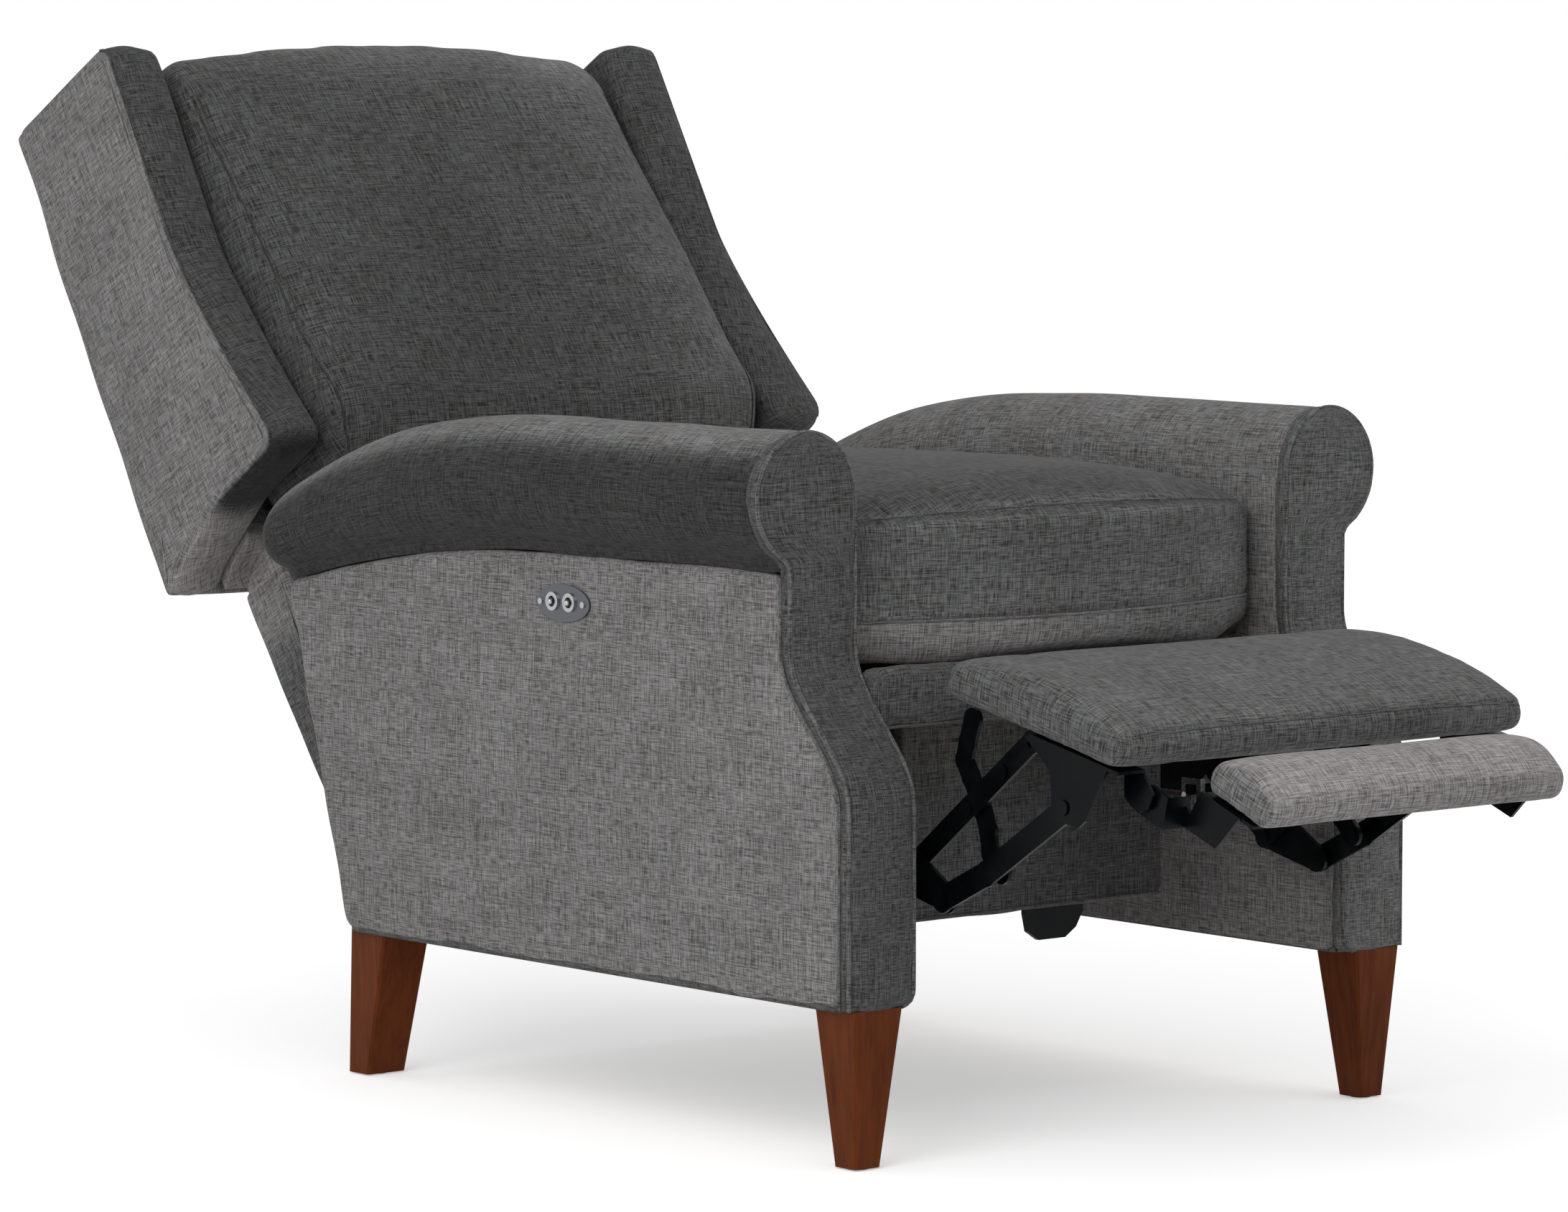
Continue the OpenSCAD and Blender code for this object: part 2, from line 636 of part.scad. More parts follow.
// One ring of the seat cushion across the chair, rounded at its edges and crowned on top
function cushion_ring(half, z0, z1, crown, pull, r) = concat(
    [[-half + r, z0], [half - r, z0], [half - 0.3 * r, z0 + 0.3 * r], [half, z0 + r]],
    [[half - pull, (z0 + z1) / 2], [half, z1 - 0.6 * r]],
    [for (i = [0 : 8]) let (t = 1 - i / 4) [t * (half - 0.3 * r), z1 + crown * (1 - pow(abs(t), 2.4))]],
    [[-half, z1 - 0.6 * r], [-half + pull, (z0 + z1) / 2], [-half, z0 + r], [-half + 0.3 * r, z0 + 0.3 * r]]);
module seat_cushion() {
    d = seat_rear - seat_front;
    z0 = deck_z1 + gap;
    // Each entry is a place along the cushion, a width, a height and a crown share
    ends = [[0, 0.93, 0.66, 0.05], [0.012, 0.97, 0.84, 0.12], [0.045, 0.995, 1, 0.3]];
    steps = concat(ends, [for (i = [1 : 8]) let (t = i / 9) [0.045 + 0.91 * t, 1, 1, sin(180 * min(0.5, 0.2 + t * 0.7)) * (1 - 0.25 * t)]],
        [[0.955, 0.995, 1, 0.5], [0.988, 0.97, 0.84, 0.2], [1, 0.93, 0.66, 0.05]]);
    color(fabric_dark) placed() loft([for (s = steps)
        [for (p = cushion_ring(seat_half * s[1], z0 + (1 - s[2]) * 40, seat_z1 - (1 - s[2]) * 60, seat_crown * s[3], draw_in * s[2], 14))
            [p[0], seat_front + d * s[0] + bow_at(p[0]) * pow(1 - s[0], 3), p[1]]]]);
}

// Back, drawn in its own frame: Z runs up along the back and Y to its rear

module in_back() {
    translate([0, hinge_y, hinge_z]) rotate([-lean, 0, 0]) children();
}
wing_in = wing_out - wing_t;
panel_y = back_rear - 12;
post_x0 = 205;
post_x1 = hinge_plate_x - gap;
post_y0 = 130;
post_y1 = 160;
post_z0 = 45;
post_z1 = back_top - 28;
bump_z = 351;
bend_z = 590;
wing_front_y = 12;
wing_peak = 3;
bump_reach = 57;
cushion_low = 205;
lower_half = arm_in - 8;
ear_rise = 48;
cushion_back = post_y0 - 6 - gap;
// Corners of the wings' underside between the rear panel and the front bump
under_rear = [164, wing_low + 18];
under_front = [70, wing_low + 44];
function wing_edge(z) = wing_front_y - bump_reach * pow(max(0, (bend_z - z) / (bend_z - bump_z)), 1.3);
module back_posts() {
    color(ply) placed() in_back() both_sides() block([post_x0, post_y0, post_z0], [post_x1, post_y1, post_z1]);
}
module back_cross_rails() {
    color(ply) placed() in_back() {
        for (z = [wing_low + 24, 540]) block([-post_x0 + gap, post_y0, z], [post_x0 - gap, post_y1, z + 40]);
        block([-wing_in + gap, cushion_back + gap, post_z1 + gap], [wing_in - gap, panel_y, back_top - 4]);
    }
}
module back_springs() {
    l = 2 * (post_x0 - gap);
    color(bright_steel) placed() in_back() for (z = [400, 480, 620, 690])
        translate([-l / 2, post_y0 + 4, z]) rotate([90, 0, 0]) linear_extrude(3.5) zigzag(l, 24, 18, 2.6);
}
module back_panel() {
    color(fabric_light) placed() in_back() block([-wing_out, panel_y + gap, wing_low], [wing_out, back_rear, back_top]);
}
module wing(side) {
    edge = [for (i = [0 : 12]) let (z = bump_z + (back_top - 6 - bump_z) * i / 12) [wing_edge(z), z]];
    outline = concat(edge, [[wing_front_y + 14, back_top + wing_peak], [panel_y, back_top], [panel_y, wing_low], under_rear, under_front,
        [wing_edge(bump_z) + 10, bump_z - 13]]);
    color(fabric_dark) placed() in_back() left_or_right(side) {
        x_prism(wing_in, wing_out) polygon(outline);
        for (z = [380, 600]) block([post_x1 + gap + 5, post_y0, z], [wing_in + 1, post_y1, z + 90]);
    }
}
module lower_back() {
    ledge = cushion_low - gap;
    outline = [[60, 25], [176, 25], [back_rear, wing_low - gap], [cushion_back + gap, wing_low - gap],
        [cushion_back + gap, ledge], [60, ledge]];
    color(fabric_light) placed() in_back() difference() {
        x_prism(-lower_half, lower_half) polygon(outline);
        both_sides() block([post_x0 - gap, post_y0 - gap, post_z0 - gap], [post_x1 + gap, post_y1 + gap, wing_low + 1]);
        both_sides() block([hinge_plate_x - gap, 0, 0], [hinge_plate_x + link_t + gap, post_y1 + 8, 250]);
    }
    ear_y = cushion_back + gap;
    slope = (under_front[1] - under_rear[1]) / (under_front[0] - under_rear[0]);
    ear = [[ear_y, under_rear[1] + slope * (ear_y - under_rear[0]) - gap], under_rear, [panel_y, wing_low],
        [panel_y, wing_low + ear_rise], [ear_y, wing_low + ear_rise]];
    color(fabric_light) placed() in_back() both_sides() {
        block([post_x1 + gap, ear_y, wing_low - 1], [lower_half, panel_y, wing_low + ear_rise]);
        x_prism(lower_half - 1, wing_in - gap) polygon(ear);
    }
}
back_bracket_top = 240;
module back_brackets() {
    outline = [[-14, -6], [crank_back - 13, crank_up - 8], [crank_back + 4, crank_up - 14], [crank_back + 14, crank_up],
        [52, 20], [post_y1, 40], [post_y1, back_bracket_top], [post_y0, back_bracket_top], [post_y0 - 20, 90], [0, 16], [-12, 10]];
    color(black_steel) placed() in_back() both_sides() difference() {
        x_prism(hinge_plate_x, hinge_plate_x + link_t) polygon(outline);
        x_rod(hinge_plate_x - 1, hinge_plate_x + link_t + 1, [0, 0], pin_r * 1.5 + run_gap);
        x_rod(hinge_plate_x - 1, hinge_plate_x + link_t + 1, [crank_back, crank_up], tube_r + run_gap);
    }
}
module crank_tube() {
    color(black_steel) placed() in_back()
        x_rod(-hinge_plate_x - link_t, hinge_plate_x + link_t, [crank_back, crank_up], tube_r);
}
// One ring of the back cushion, across the chair, with its crown towards the front
function back_ring(half, y0, y1, crown, pull, r) =
    [for (p = cushion_ring(half, -y1, -y0, crown, pull, r)) [p[0], -p[1]]];
top_crown = 17;
cushion_face = 30;
module back_cushion() {
    z0 = cushion_low;
    z1 = back_top - 9;
    half = wing_in - 4;
    d = z1 - z0;
    y1 = cushion_back;
    // Each entry is a place along the cushion, a width, a thickness share, a crown share and how far the face stands out
    steps = [[0, 0.89, 0.5, 0.1, 18], [0.015, 0.92, 0.8, 0.3, 18], [0.05, 0.94, 1, 0.5, 18], [0.14, 0.95, 1, 0.6, 30],
        [0.21, 0.98, 1, 0.57, 52], [0.27, 1, 1, 0.55, 64], [0.42, 1, 1, 0.62, 52], [0.58, 1, 1, 0.7, 39],
        [0.72, 1, 1, 0.74, 26], [0.84, 1, 1, 0.7, 15], [0.94, 0.998, 0.98, 0.56, 8], [0.98, 0.985, 0.88, 0.4, 3],
        [1, 0.96, 0.66, 0.2, 0]];
    color(fabric_dark) placed() in_back() loft([for (s = [len(steps) - 1 : -1 : 0])
        let (k = steps[s])
        [for (p = back_ring(half * k[1], cushion_face - k[4] + (1 - k[2]) * 50, y1 - (1 - k[2]) * 50, back_crown * k[3], draw_in * k[2], 14))
            [p[0], p[1], z0 + d * k[0] + top_crown * pow(k[0], 8) * (1 - pow(p[0] / half, 2))]]]);
}

// Footrest, drawn in the frame of its main pad: u runs to the front and v up from the pad's underside

function pad_point(u, v) = [pad_y - u * cos(pad_slope) - v * sin(pad_slope), pad_z - u * sin(pad_slope) + v * cos(pad_slope)];
module in_pad() {
    translate([0, pad_y, pad_z]) rotate([pad_slope, 0, 0]) children();
}
lift_head = pad_point(lift_u, lift_v);
stay_head = pad_point(stay_u, stay_v);

// A flat link: a round eye at each pivot, bars between the pairs of eyes in joined, and bored eyes
eye_rim = 0.75;
module link(x, eyes, joined, w, bores) {
    difference() {
        x_prism(x, x + link_t) {
            for (p = eyes) translate(p) circle(d = w);
            for (k = joined) bar(eyes[k[0]], eyes[k[1]], w - 2 * eye_rim);
        }
        for (i = [0 : len(bores) - 1]) if (bores[i] > 0) x_rod(x - 1, x + link_t + 1, eyes[i], bores[i]);
    }
}
module bar(a, b, w) {
    translate(a) rotate(atan2(b[1] - a[1], b[0] - a[0])) translate([0, -w / 2]) square([norm(b - a), w]);
}
// A riveted pin that stands on a link's face and keeps a second link by its head
module rivet(x_from, x_to, at) {
    x_rod(min(x_from, x_to), max(x_from, x_to), at, pin_r);
    if (x_to > x_from) x_rod(x_to, x_to + head_t, at, head_r);
    else x_rod(x_to - head_t, x_to, at, head_r);
}
pin_bore = pin_r + run_gap;
module drive_links() {
    // Eyes of the drive plate: base pivot, lift pivot, stay pivot and the rod's crank
    eyes = [[drive_y, drive_z], foot_pivot, stay_foot, footrest_pin];
    color(black_steel) placed() both_sides() {
        link(drive_x, eyes, [[0, 1], [0, 2], [2, 1], [0, 3]], link_w + 2, [pin_r * 1.5 + run_gap]);
        rivet(drive_x + link_t - 1, lift_x + link_t + gap, foot_pivot);
        rivet(drive_x + 1, stay_x - gap, stay_foot);
    }
    color(black_steel) placed() x_rod(footrest_axis_x - 5, drive_x + 1, footrest_pin, footrest_pin_r);
}
module drive_tube() {
    reach = drive_x - gap - head_t;
    color(black_steel) placed() x_rod(-reach, reach, [drive_y, drive_z], tube_r);
}
module lift_links() {
    color(black_steel) placed() both_sides() {
        link(lift_x, [foot_pivot, cross_pivot, lift_head], [[0, 1], [1, 2]], link_w, [pin_bore]);
        rivet(lift_x + link_t - 1, bracket_x + bracket_t + gap, lift_head);
        rivet(lift_x + 1, cross_x - gap, cross_pivot);
    }
}
module stay_links() {
    color(black_steel) placed() both_sides() {
        link(stay_x, [stay_foot, stay_head], [[0, 1]], link_w - 2, [pin_bore, pin_bore + 1]);
        for (k = [0.5, 0.78]) rivet(stay_x + link_t - 1, stay_x + link_t + 0.5, stay_foot + (stay_head - stay_foot) * k);
    }
}
module cross_links() {
    eyes = [cross_pivot, [-54, 284], [-51, 303], [-42, 327], [-27, 351], [-19, 365], [-23, 380], cross_head];
    color(black_steel) placed() both_sides()
        link(cross_x, eyes, [for (i = [0 : len(eyes) - 2]) [i, i + 1]], link_w - 2, [pin_bore]);
}
module footrest_brackets() {
    web = [[90, -3], [112, -15], [131, -26], [140, -62], [150, -65], [176, -63], [183, -55], [191, -30], [200, -3]];
    ear = [[190, -3], [196, -30], [206, -36], [218, -38], [228, -32], [231, -18], [214, -3]];
    color(black_steel) placed() in_pad() both_sides() difference() {
        union() {
            x_prism(bracket_x, bracket_x + bracket_t) mirror([1, 0]) polygon(web);
            x_prism(ear_x, ear_x + bracket_t) mirror([1, 0]) polygon(ear);
            x_prism(ear_x, bracket_x + bracket_t) mirror([1, 0]) polygon([[97, -3.2], [97, -gap], [214, -gap], [214, -3.2]]);
            rivet_uv(ear_x + 1, flip_x - gap, flip_u, flip_v);
        }
        x_rod(bracket_x - 1, bracket_x + bracket_t + 1, [-lift_u, lift_v], pin_bore);
    }
}
module rivet_uv(x_from, x_to, u, v) {
    rivet(x_from, x_to, [-u, v]);
}
// One ring of a footrest pad across its depth: a rounded box with a crown on top
function pad_ring(u0, u1, v0, v1, crown, r) = concat(
    [[u0 + r * 0.4, v0], [u1 - r * 0.4, v0], [u1, v0 + r * 0.4], [u1, v1 - r], [u1 - r * 0.3, v1 - r * 0.3]],
    [for (i = [1 : 5]) let (t = i / 6) [u1 - r + (u0 - u1 + 2 * r) * t, v1 + crown * sin(180 * t)]],
    [[u0 + r * 0.3, v1 - r * 0.3], [u0, v1 - r], [u0, v0 + r * 0.4]]);
module pad_solid(half, u0, u1, v0, v1, crown) {
    steps = [[-1, 0.55], [-0.985, 0.8], [-0.95, 0.95], [-0.8, 1], [-0.4, 1], [0, 1], [0.4, 1], [0.8, 1], [0.95, 0.95], [0.985, 0.8], [1, 0.55]];
    c = (v0 + v1) / 2;
    loft([for (s = steps) [for (p = pad_ring(u0 + (1 - s[1]) * 24, u1 - (1 - s[1]) * 24, v0, c + (v1 - c) * s[1], crown * s[1], 14))
        [half * s[0], -p[0], p[1]]]]);
}
pad_crown = 13;
module footrest_pad() {
    color(fabric_dark) placed() in_pad() pad_solid(pad_half, -pad_tail, pad_len, 0, pad_t - pad_crown, pad_crown);
}
flip_u0 = pad_len + 37;
flip_v0 = -7;
flip_crown = 9;
flip_arm_t = 3.5;
flip_plate_t = 3;
// The flipper's own frame, from the rear lower corner of its pad
module in_flip() {
    translate([0, -flip_u0, flip_v0]) rotate([flip_tilt, 0, 0]) children();
}
module flipper_pad() {
    color(fabric_light) placed() in_pad() in_flip() pad_solid(flip_half, 0, flip_len, 0, flip_t - flip_crown, flip_crown);
}
module flipper_arms() {
    // The inner plate lies under the pad and the outer one on the pivot, with a step between them
    inner_x = flip_half - 6;
    step_u = flip_u0 - 18;
    outer = [[200, -20], [206, -14], [222, -12], [step_u + 3, -17], [step_u + 3, -46], [228, -44], [208, -40], [200, -33]];
    inner = [[0, -1], [52, -0.5], [36, -39], [-10, -40], [-18, -36], [-18, -17], [-4, -26]];
    color(black_steel) placed() in_pad() both_sides() difference() {
        union() {
            x_prism(flip_x, flip_x + flip_arm_t) mirror([1, 0]) polygon(outer);
            x_prism(inner_x, flip_x + 1) mirror([1, 0])
                polygon([[step_u, -18], [step_u + 3, -17], [step_u + 3, -46], [step_u, -45]]);
            in_flip() {
                x_prism(inner_x, inner_x + flip_arm_t) mirror([1, 0]) polygon(inner);
                block([inner_x - 30, -68, -gap - flip_plate_t], [inner_x + 1, -4, -gap]);
            }
        }
        x_rod(flip_x - 1, flip_x + flip_arm_t + 1, [-flip_u, flip_v], pin_bore);
    }
}

arm_frame(-1);  // arm_frame_right
arm_frame(1);  // arm_frame_left
arm_side(-1);  // arm_side_right
arm_side(1);  // arm_side_left
arm_inside(-1);  // arm_inside_right
arm_inside(1);  // arm_inside_left
arm_roll(-1);  // arm_roll_right
arm_roll(1);  // arm_roll_left
arm_front(-1);  // arm_front_right
arm_front(1);  // arm_front_left
leg_front(-1);  // leg_front_right
leg_front(1);  // leg_front_left
leg_rear(-1);  // leg_rear_right
leg_rear(1);  // leg_rear_left
leg_bolts();
leg_glides();
front_band();
front_beam();
front_apron();
rear_rail();
side_plate(-1);  // side_plate_right
side_plate(1);  // side_plate_left
base_tubes();
frame_bolts();
centre_foot();
recline_motor();
footrest_motor();
power_box();
switch_plate();
switch_box();
toggle_bezels();
switch_screws();
toggle(toggle_ys[1]);  // toggle_back
toggle(toggle_ys[0]);  // toggle_footrest
seat_side_rails();
seat_cross_rails();
seat_springs();
seat_lip();
seat_cushion();
back_posts();
back_cross_rails();
back_springs();
back_panel();
lower_back();
wing(-1);  // wing_right
wing(1);  // wing_left
back_cushion();
back_brackets();
crank_tube();
recline_rod();
footrest_rod();
drive_links();
drive_tube();
lift_links();
stay_links();
cross_links();
footrest_pad();
footrest_brackets();
flipper_pad();
flipper_arms();
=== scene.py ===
"""The looks of a high-leg recliner with rolled arms, a wing back and a two-part footrest."""

import json
import math

import bmesh
import bpy
import numpy as np
from mathutils import Matrix, Vector
from mathutils.bvhtree import BVHTree


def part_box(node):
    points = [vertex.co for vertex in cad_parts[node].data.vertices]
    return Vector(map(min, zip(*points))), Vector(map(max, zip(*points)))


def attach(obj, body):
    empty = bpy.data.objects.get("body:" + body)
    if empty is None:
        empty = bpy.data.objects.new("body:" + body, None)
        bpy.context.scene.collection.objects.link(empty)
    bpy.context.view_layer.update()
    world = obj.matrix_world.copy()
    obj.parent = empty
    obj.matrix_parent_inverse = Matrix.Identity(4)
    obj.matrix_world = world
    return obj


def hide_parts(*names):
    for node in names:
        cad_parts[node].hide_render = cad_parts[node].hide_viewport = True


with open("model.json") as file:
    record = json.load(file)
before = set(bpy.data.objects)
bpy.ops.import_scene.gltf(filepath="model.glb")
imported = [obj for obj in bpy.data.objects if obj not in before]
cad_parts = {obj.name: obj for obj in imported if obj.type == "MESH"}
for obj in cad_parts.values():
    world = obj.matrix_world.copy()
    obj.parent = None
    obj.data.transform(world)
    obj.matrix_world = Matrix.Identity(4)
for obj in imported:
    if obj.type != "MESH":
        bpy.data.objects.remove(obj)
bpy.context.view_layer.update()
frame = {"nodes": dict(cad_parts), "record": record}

# Sizes in metres. X points to the sitter's left, Y to the rear and Z up. Y = 0 is at the front feet.
FEET_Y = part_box("leg_glides")[0].y - 0.005
LEG_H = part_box("arm_side_left")[0].z
ARM_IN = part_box("arm_inside_left")[0].x
ARM_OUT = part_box("arm_side_left")[1].x
ARM_TOP = 0.660
ROLL_R = 0.0605
ROLL_X = ARM_IN + ROLL_R
SEAM_Z = 0.534
ARM_REAR = 0.742
FRONT_T = 0.012
FRONT_CORNER = 0.014
ROLL_FRONT = 0.079
ROLL_END = 0.80
ROLL_REAR = 0.854
ROLL_RISE = 0.48
RAIL_Y = 0.1240
LIP_LOW = 0.4418
LIP_TOP = 0.4775
LIP_COVER = 0.4812
HINGE = (0, 0.720, 0.300)
LEAN = math.radians(29.5)
BACK_TOP = 0.818
BACK_REAR = 0.202
WING_OUT = 0.357
WING_IN = 0.290
WING_LOW = 0.286
PAD_CORNER = (0, -0.037, 0.420)
PAD_SLOPE = math.radians(12.3)
FLIP_CORNER = (0, -0.259, -0.007)
FLIP_SLOPE = math.radians(10.5)

SIDES = ((-1, "right"), (1, "left"))

# The frames that pieces are drawn in: the chair, its back with Z along it, and the two pads of the footrest
CHAIR = Matrix.Translation((0, FEET_Y, 0))
BACK = CHAIR @ Matrix.Translation(HINGE) @ Matrix.Rotation(-LEAN, 4, "X")
PAD = CHAIR @ Matrix.Translation(PAD_CORNER) @ Matrix.Rotation(PAD_SLOPE, 4, "X")
FLIP = PAD @ Matrix.Translation(FLIP_CORNER) @ Matrix.Rotation(FLIP_SLOPE, 4, "X")

# The camera, solved from the photo: azimuth, elevation and roll in degrees, its place in the chair's frame,
# and its lens
VIEW_ANGLES = (-40.3511, 4.7811, 0.0249)
EYE = (-4.16775, -4.41183, 0.99734)
LENS = 151.53

# The lights: the world's strength, the floor's own light, and each lamp's place, size and power
WORLD_LIGHT = 0.62
FLOOR_GLOW = 0.44
LAMPS = (
    ("key", (-3.4, -1.6, 3.0), 2.6, 60),
    ("fill", (2.5, -4.0, 2.4), 3.0, 18),
)


def added(name, data):
    """A new object in the scene."""
    obj = bpy.data.objects.new(name, data)
    bpy.context.scene.collection.objects.link(obj)
    return obj


def set_camera():
    """Puts the camera where the photo was taken from."""
    azimuth, elevation, roll = (math.radians(a) for a in VIEW_ANGLES)
    level = Vector((math.sin(azimuth), -math.cos(azimuth), 0))
    back = level * math.cos(elevation) + Vector((0, 0, math.sin(elevation)))
    right = Vector((math.cos(azimuth), math.sin(azimuth), 0))
    up = back.cross(right)
    turned_right = math.cos(roll) * right + math.sin(roll) * up
    turned_up = math.cos(roll) * up - math.sin(roll) * right
    data = bpy.data.cameras.new("camera")
    data.lens = LENS
    data.sensor_width = 36
    camera = added("camera", data)
    axes = Matrix((turned_right, turned_up, back)).transposed()
    camera.matrix_world = Matrix.Translation(CHAIR @ Vector(EYE)) @ axes.to_4x4()
    bpy.context.scene.camera = camera


# Materials


def linear(level):
    """The linear value of an 8-bit grey level."""
    c = level / 255
    return c / 12.92 if c <= 0.04045 else ((c + 0.055) / 1.055) ** 2.4


class Shader:
    """A node tree. A call adds a node; its inputs are numbers, tuples or nodes' sockets."""

    def __init__(self, name, kind="materials", surface="Principled BSDF"):
        self.block = getattr(bpy.data, kind).new(name)
        self.block.use_nodes = True
        self.nodes = self.block.node_tree.nodes
        self.links = self.block.node_tree.links
        self.surface = self.nodes[surface]

    def __call__(self, kind, inputs=(), out=0, **settings):
        node = self.nodes.new("ShaderNode" + kind)
        for key, value in settings.items():
            setattr(node, key, value)
        for key, value in dict(inputs).items():
            self.set(node.inputs[key], value)
        return node.outputs[out]

    def set(self, socket, value):
        if isinstance(value, bpy.types.NodeSocket):
            self.links.new(value, socket)
        else:
            socket.default_value = value

    def finish(self, **inputs):
        """Sets the surface's inputs, and gives the material or world."""
        for key, value in inputs.items():
            self.set(self.surface.inputs[key.replace("_", " ")], value)
        return self.block

    def math(self, operation, a, b=0.0):
        return self("Math", {0: a, 1: b}, operation=operation)

    def scaled(self, vector, x, y, z=1.0, shift=0.0):
        """vector, stretched and shifted."""
        return self("Mapping", {"Vector": vector, "Scale": (x, y, z), "Location": (shift, shift, shift)})

    def noise(self, vector, detail=2.0, roughness=0.5):
        return self("TexNoise", {"Vector": vector, "Scale": 1.0, "Detail": detail, "Roughness": roughness})

    def remap(self, value, low, high, to_low, to_high):
        return self("MapRange", {0: value, 1: low, 2: high, 3: to_low, 4: to_high})

    def blend(self, share, first, second):
        """A colour between two, by share."""
        inputs = {0: share, 6: first + (1,), 7: second + (1,)}
        return self("Mix", inputs, out=2, data_type="RGBA")

    def bump(self, height, strength, distance):
        return self("Bump", {"Height": height, "Strength": strength, "Distance": distance})


def chenille():
    """Heathered woven chenille. A piece's tone attribute holds its lightness, into which light and shade are
    painted: the nap's sheen and how the light falls on each part.
    """
    s = Shader("chenille")
    uv = s("UVMap", uv_map="weave")
    weft = s.noise(s.scaled(uv, 13, 640), 2.0, 0.65)
    warp = s.noise(s.scaled(uv, 640, 13, shift=9.0), 2.0, 0.65)
    short_weft = s.noise(s.scaled(uv, 75, 1000, shift=3.0), 1.0)
    short_warp = s.noise(s.scaled(uv, 1000, 75, shift=5.0), 1.0)
    nap = s.noise(s.scaled(uv, 9, 16, shift=1.0), 3.0)
    tone = s("Attribute", out=2, attribute_name="tone")
    slubs = s.math("MULTIPLY", s.math("ADD", weft, warp), 0.44)
    fine = s.math("MULTIPLY", s.math("ADD", short_weft, short_warp), 0.56)
    threads = s.math("ADD", slubs, fine)
    contrast = s.remap(tone, linear(70), linear(140), 1.45, 1.0)
    flecks = s.math("MULTIPLY", s.remap(threads, 0.84, 1.16, -0.52, 0.52), contrast)
    mottle = s.remap(nap, 0.3, 0.7, 0.91, 1.09)
    level = s.math("MULTIPLY", s.math("MULTIPLY", s.math("ADD", flecks, 1.0), mottle), tone)
    thread_hue = s.blend(s.remap(warp, 0.42, 0.58, 0, 1), (1.0, 0.985, 0.955), (0.965, 0.99, 1.0))
    # The parts painted lighter are also tinted warmer.
    paler = s.remap(tone, linear(95), linear(135), 0, 1)
    warmth = s.blend(paler, (1.0, 1.0, 1.0), (1.055, 0.985, 0.985))
    hue = s("VectorMath", {0: thread_hue, 1: warmth}, operation="MULTIPLY")
    colour = s("VectorMath", {0: hue, 3: level}, operation="SCALE")
    normal = s.bump(threads, 0.35, 0.0007)
    sheen = {"Sheen_Weight": 0.06, "Sheen_Roughness": 0.5}
    return s.finish(Base_Color=colour, Normal=normal, Roughness=0.95, Specular_IOR_Level=0.15, **sheen)


def stained_wood():
    s = Shader("stained_wood")
    at = s("TexCoord", out=3)
    grain = s.noise(s.scaled(at, 170, 170, 9), 4.0, 0.65)
    pores = s.noise(s.scaled(at, 900, 900, 40), 2.0)
    cloud = s.noise(s.scaled(at, 14, 14, 6), 2.0)
    depth = s.math("ADD", s.math("MULTIPLY", grain, 0.6), s.math("MULTIPLY", cloud, 0.4))
    mix = s.blend(s.remap(depth, 0.38, 0.62, 0, 1), (0.082, 0.018, 0.0035), (0.140, 0.034, 0.0075))
    normal = s.bump(pores, 0.12, 0.0003)
    return s.finish(Base_Color=mix, Normal=normal, Roughness=0.42, Specular_IOR_Level=0.07)


def bare_wood():
    s = Shader("bare_wood")
    at = s("TexCoord", out=3)
    grain = s.noise(s.scaled(at, 12, 5, 90), 4.0, 0.6)
    mix = s.blend(s.remap(grain, 0.35, 0.65, 0, 1), (0.42, 0.27, 0.14), (0.62, 0.46, 0.29))
    return s.finish(Base_Color=mix, Normal=s.bump(grain, 0.2, 0.0006), Roughness=0.7)


def painted_steel():
    s = Shader("painted_steel")
    at = s("TexCoord", out=3)
    peel = s.noise(s.scaled(at, 420, 420, 420), 2.0)
    dust = s.noise(s.scaled(at, 35, 35, 35), 3.0)
    mix = s.blend(s.remap(dust, 0.4, 0.75, 0, 1), (0.0012, 0.0017, 0.0022), (0.0030, 0.0040, 0.0052))
    gloss = s.remap(dust, 0.3, 0.7, 0.24, 0.42)
    normal = s.bump(peel, 0.05, 0.0004)
    return s.finish(Base_Color=mix, Normal=normal, Roughness=gloss, Specular_IOR_Level=0.09)


def bright_steel(name, colour, roughness, brushed):
    s = Shader(name)
    at = s("TexCoord", out=3)
    scale = (300, 60, 2400) if brushed else (300, 300, 300)
    lines = s.noise(s.scaled(at, *scale), 2.0)
    mix = s.blend(lines, tuple(0.75 * c for c in colour), colour)
    gloss = s.remap(lines, 0.3, 0.7, roughness * 0.8, roughness * 1.25)
    return s.finish(Base_Color=mix, Normal=s.bump(lines, 0.08, 0.0002), Roughness=gloss, Metallic=1.0)


def moulded_plastic():
    s = Shader("moulded_plastic")
    at = s("TexCoord", out=3)
    spark = s.noise(s.scaled(at, 1500, 1500, 1500), 2.0)
    mix = s.blend(spark, (0.012, 0.012, 0.013), (0.028, 0.028, 0.030))
    return s.finish(Base_Color=mix, Normal=s.bump(spark, 0.25, 0.0002), Roughness=0.55)


CLOTH = chenille()
LEG_WOOD = stained_wood()
STEEL = painted_steel()
CAD_LOOKS = {
    "legs": LEG_WOOD,
    "frame_wood": bare_wood(),
    "black_steel": STEEL,
    "bright_steel": bright_steel("zinc_steel", (0.50, 0.50, 0.52), 0.22, False),
    "brushed_plate": bright_steel("brushed_steel", (0.135, 0.140, 0.155), 0.30, True),
    "black_plastic": moulded_plastic(),
    "fabric": CLOTH,
    "side_fabric": CLOTH,
}


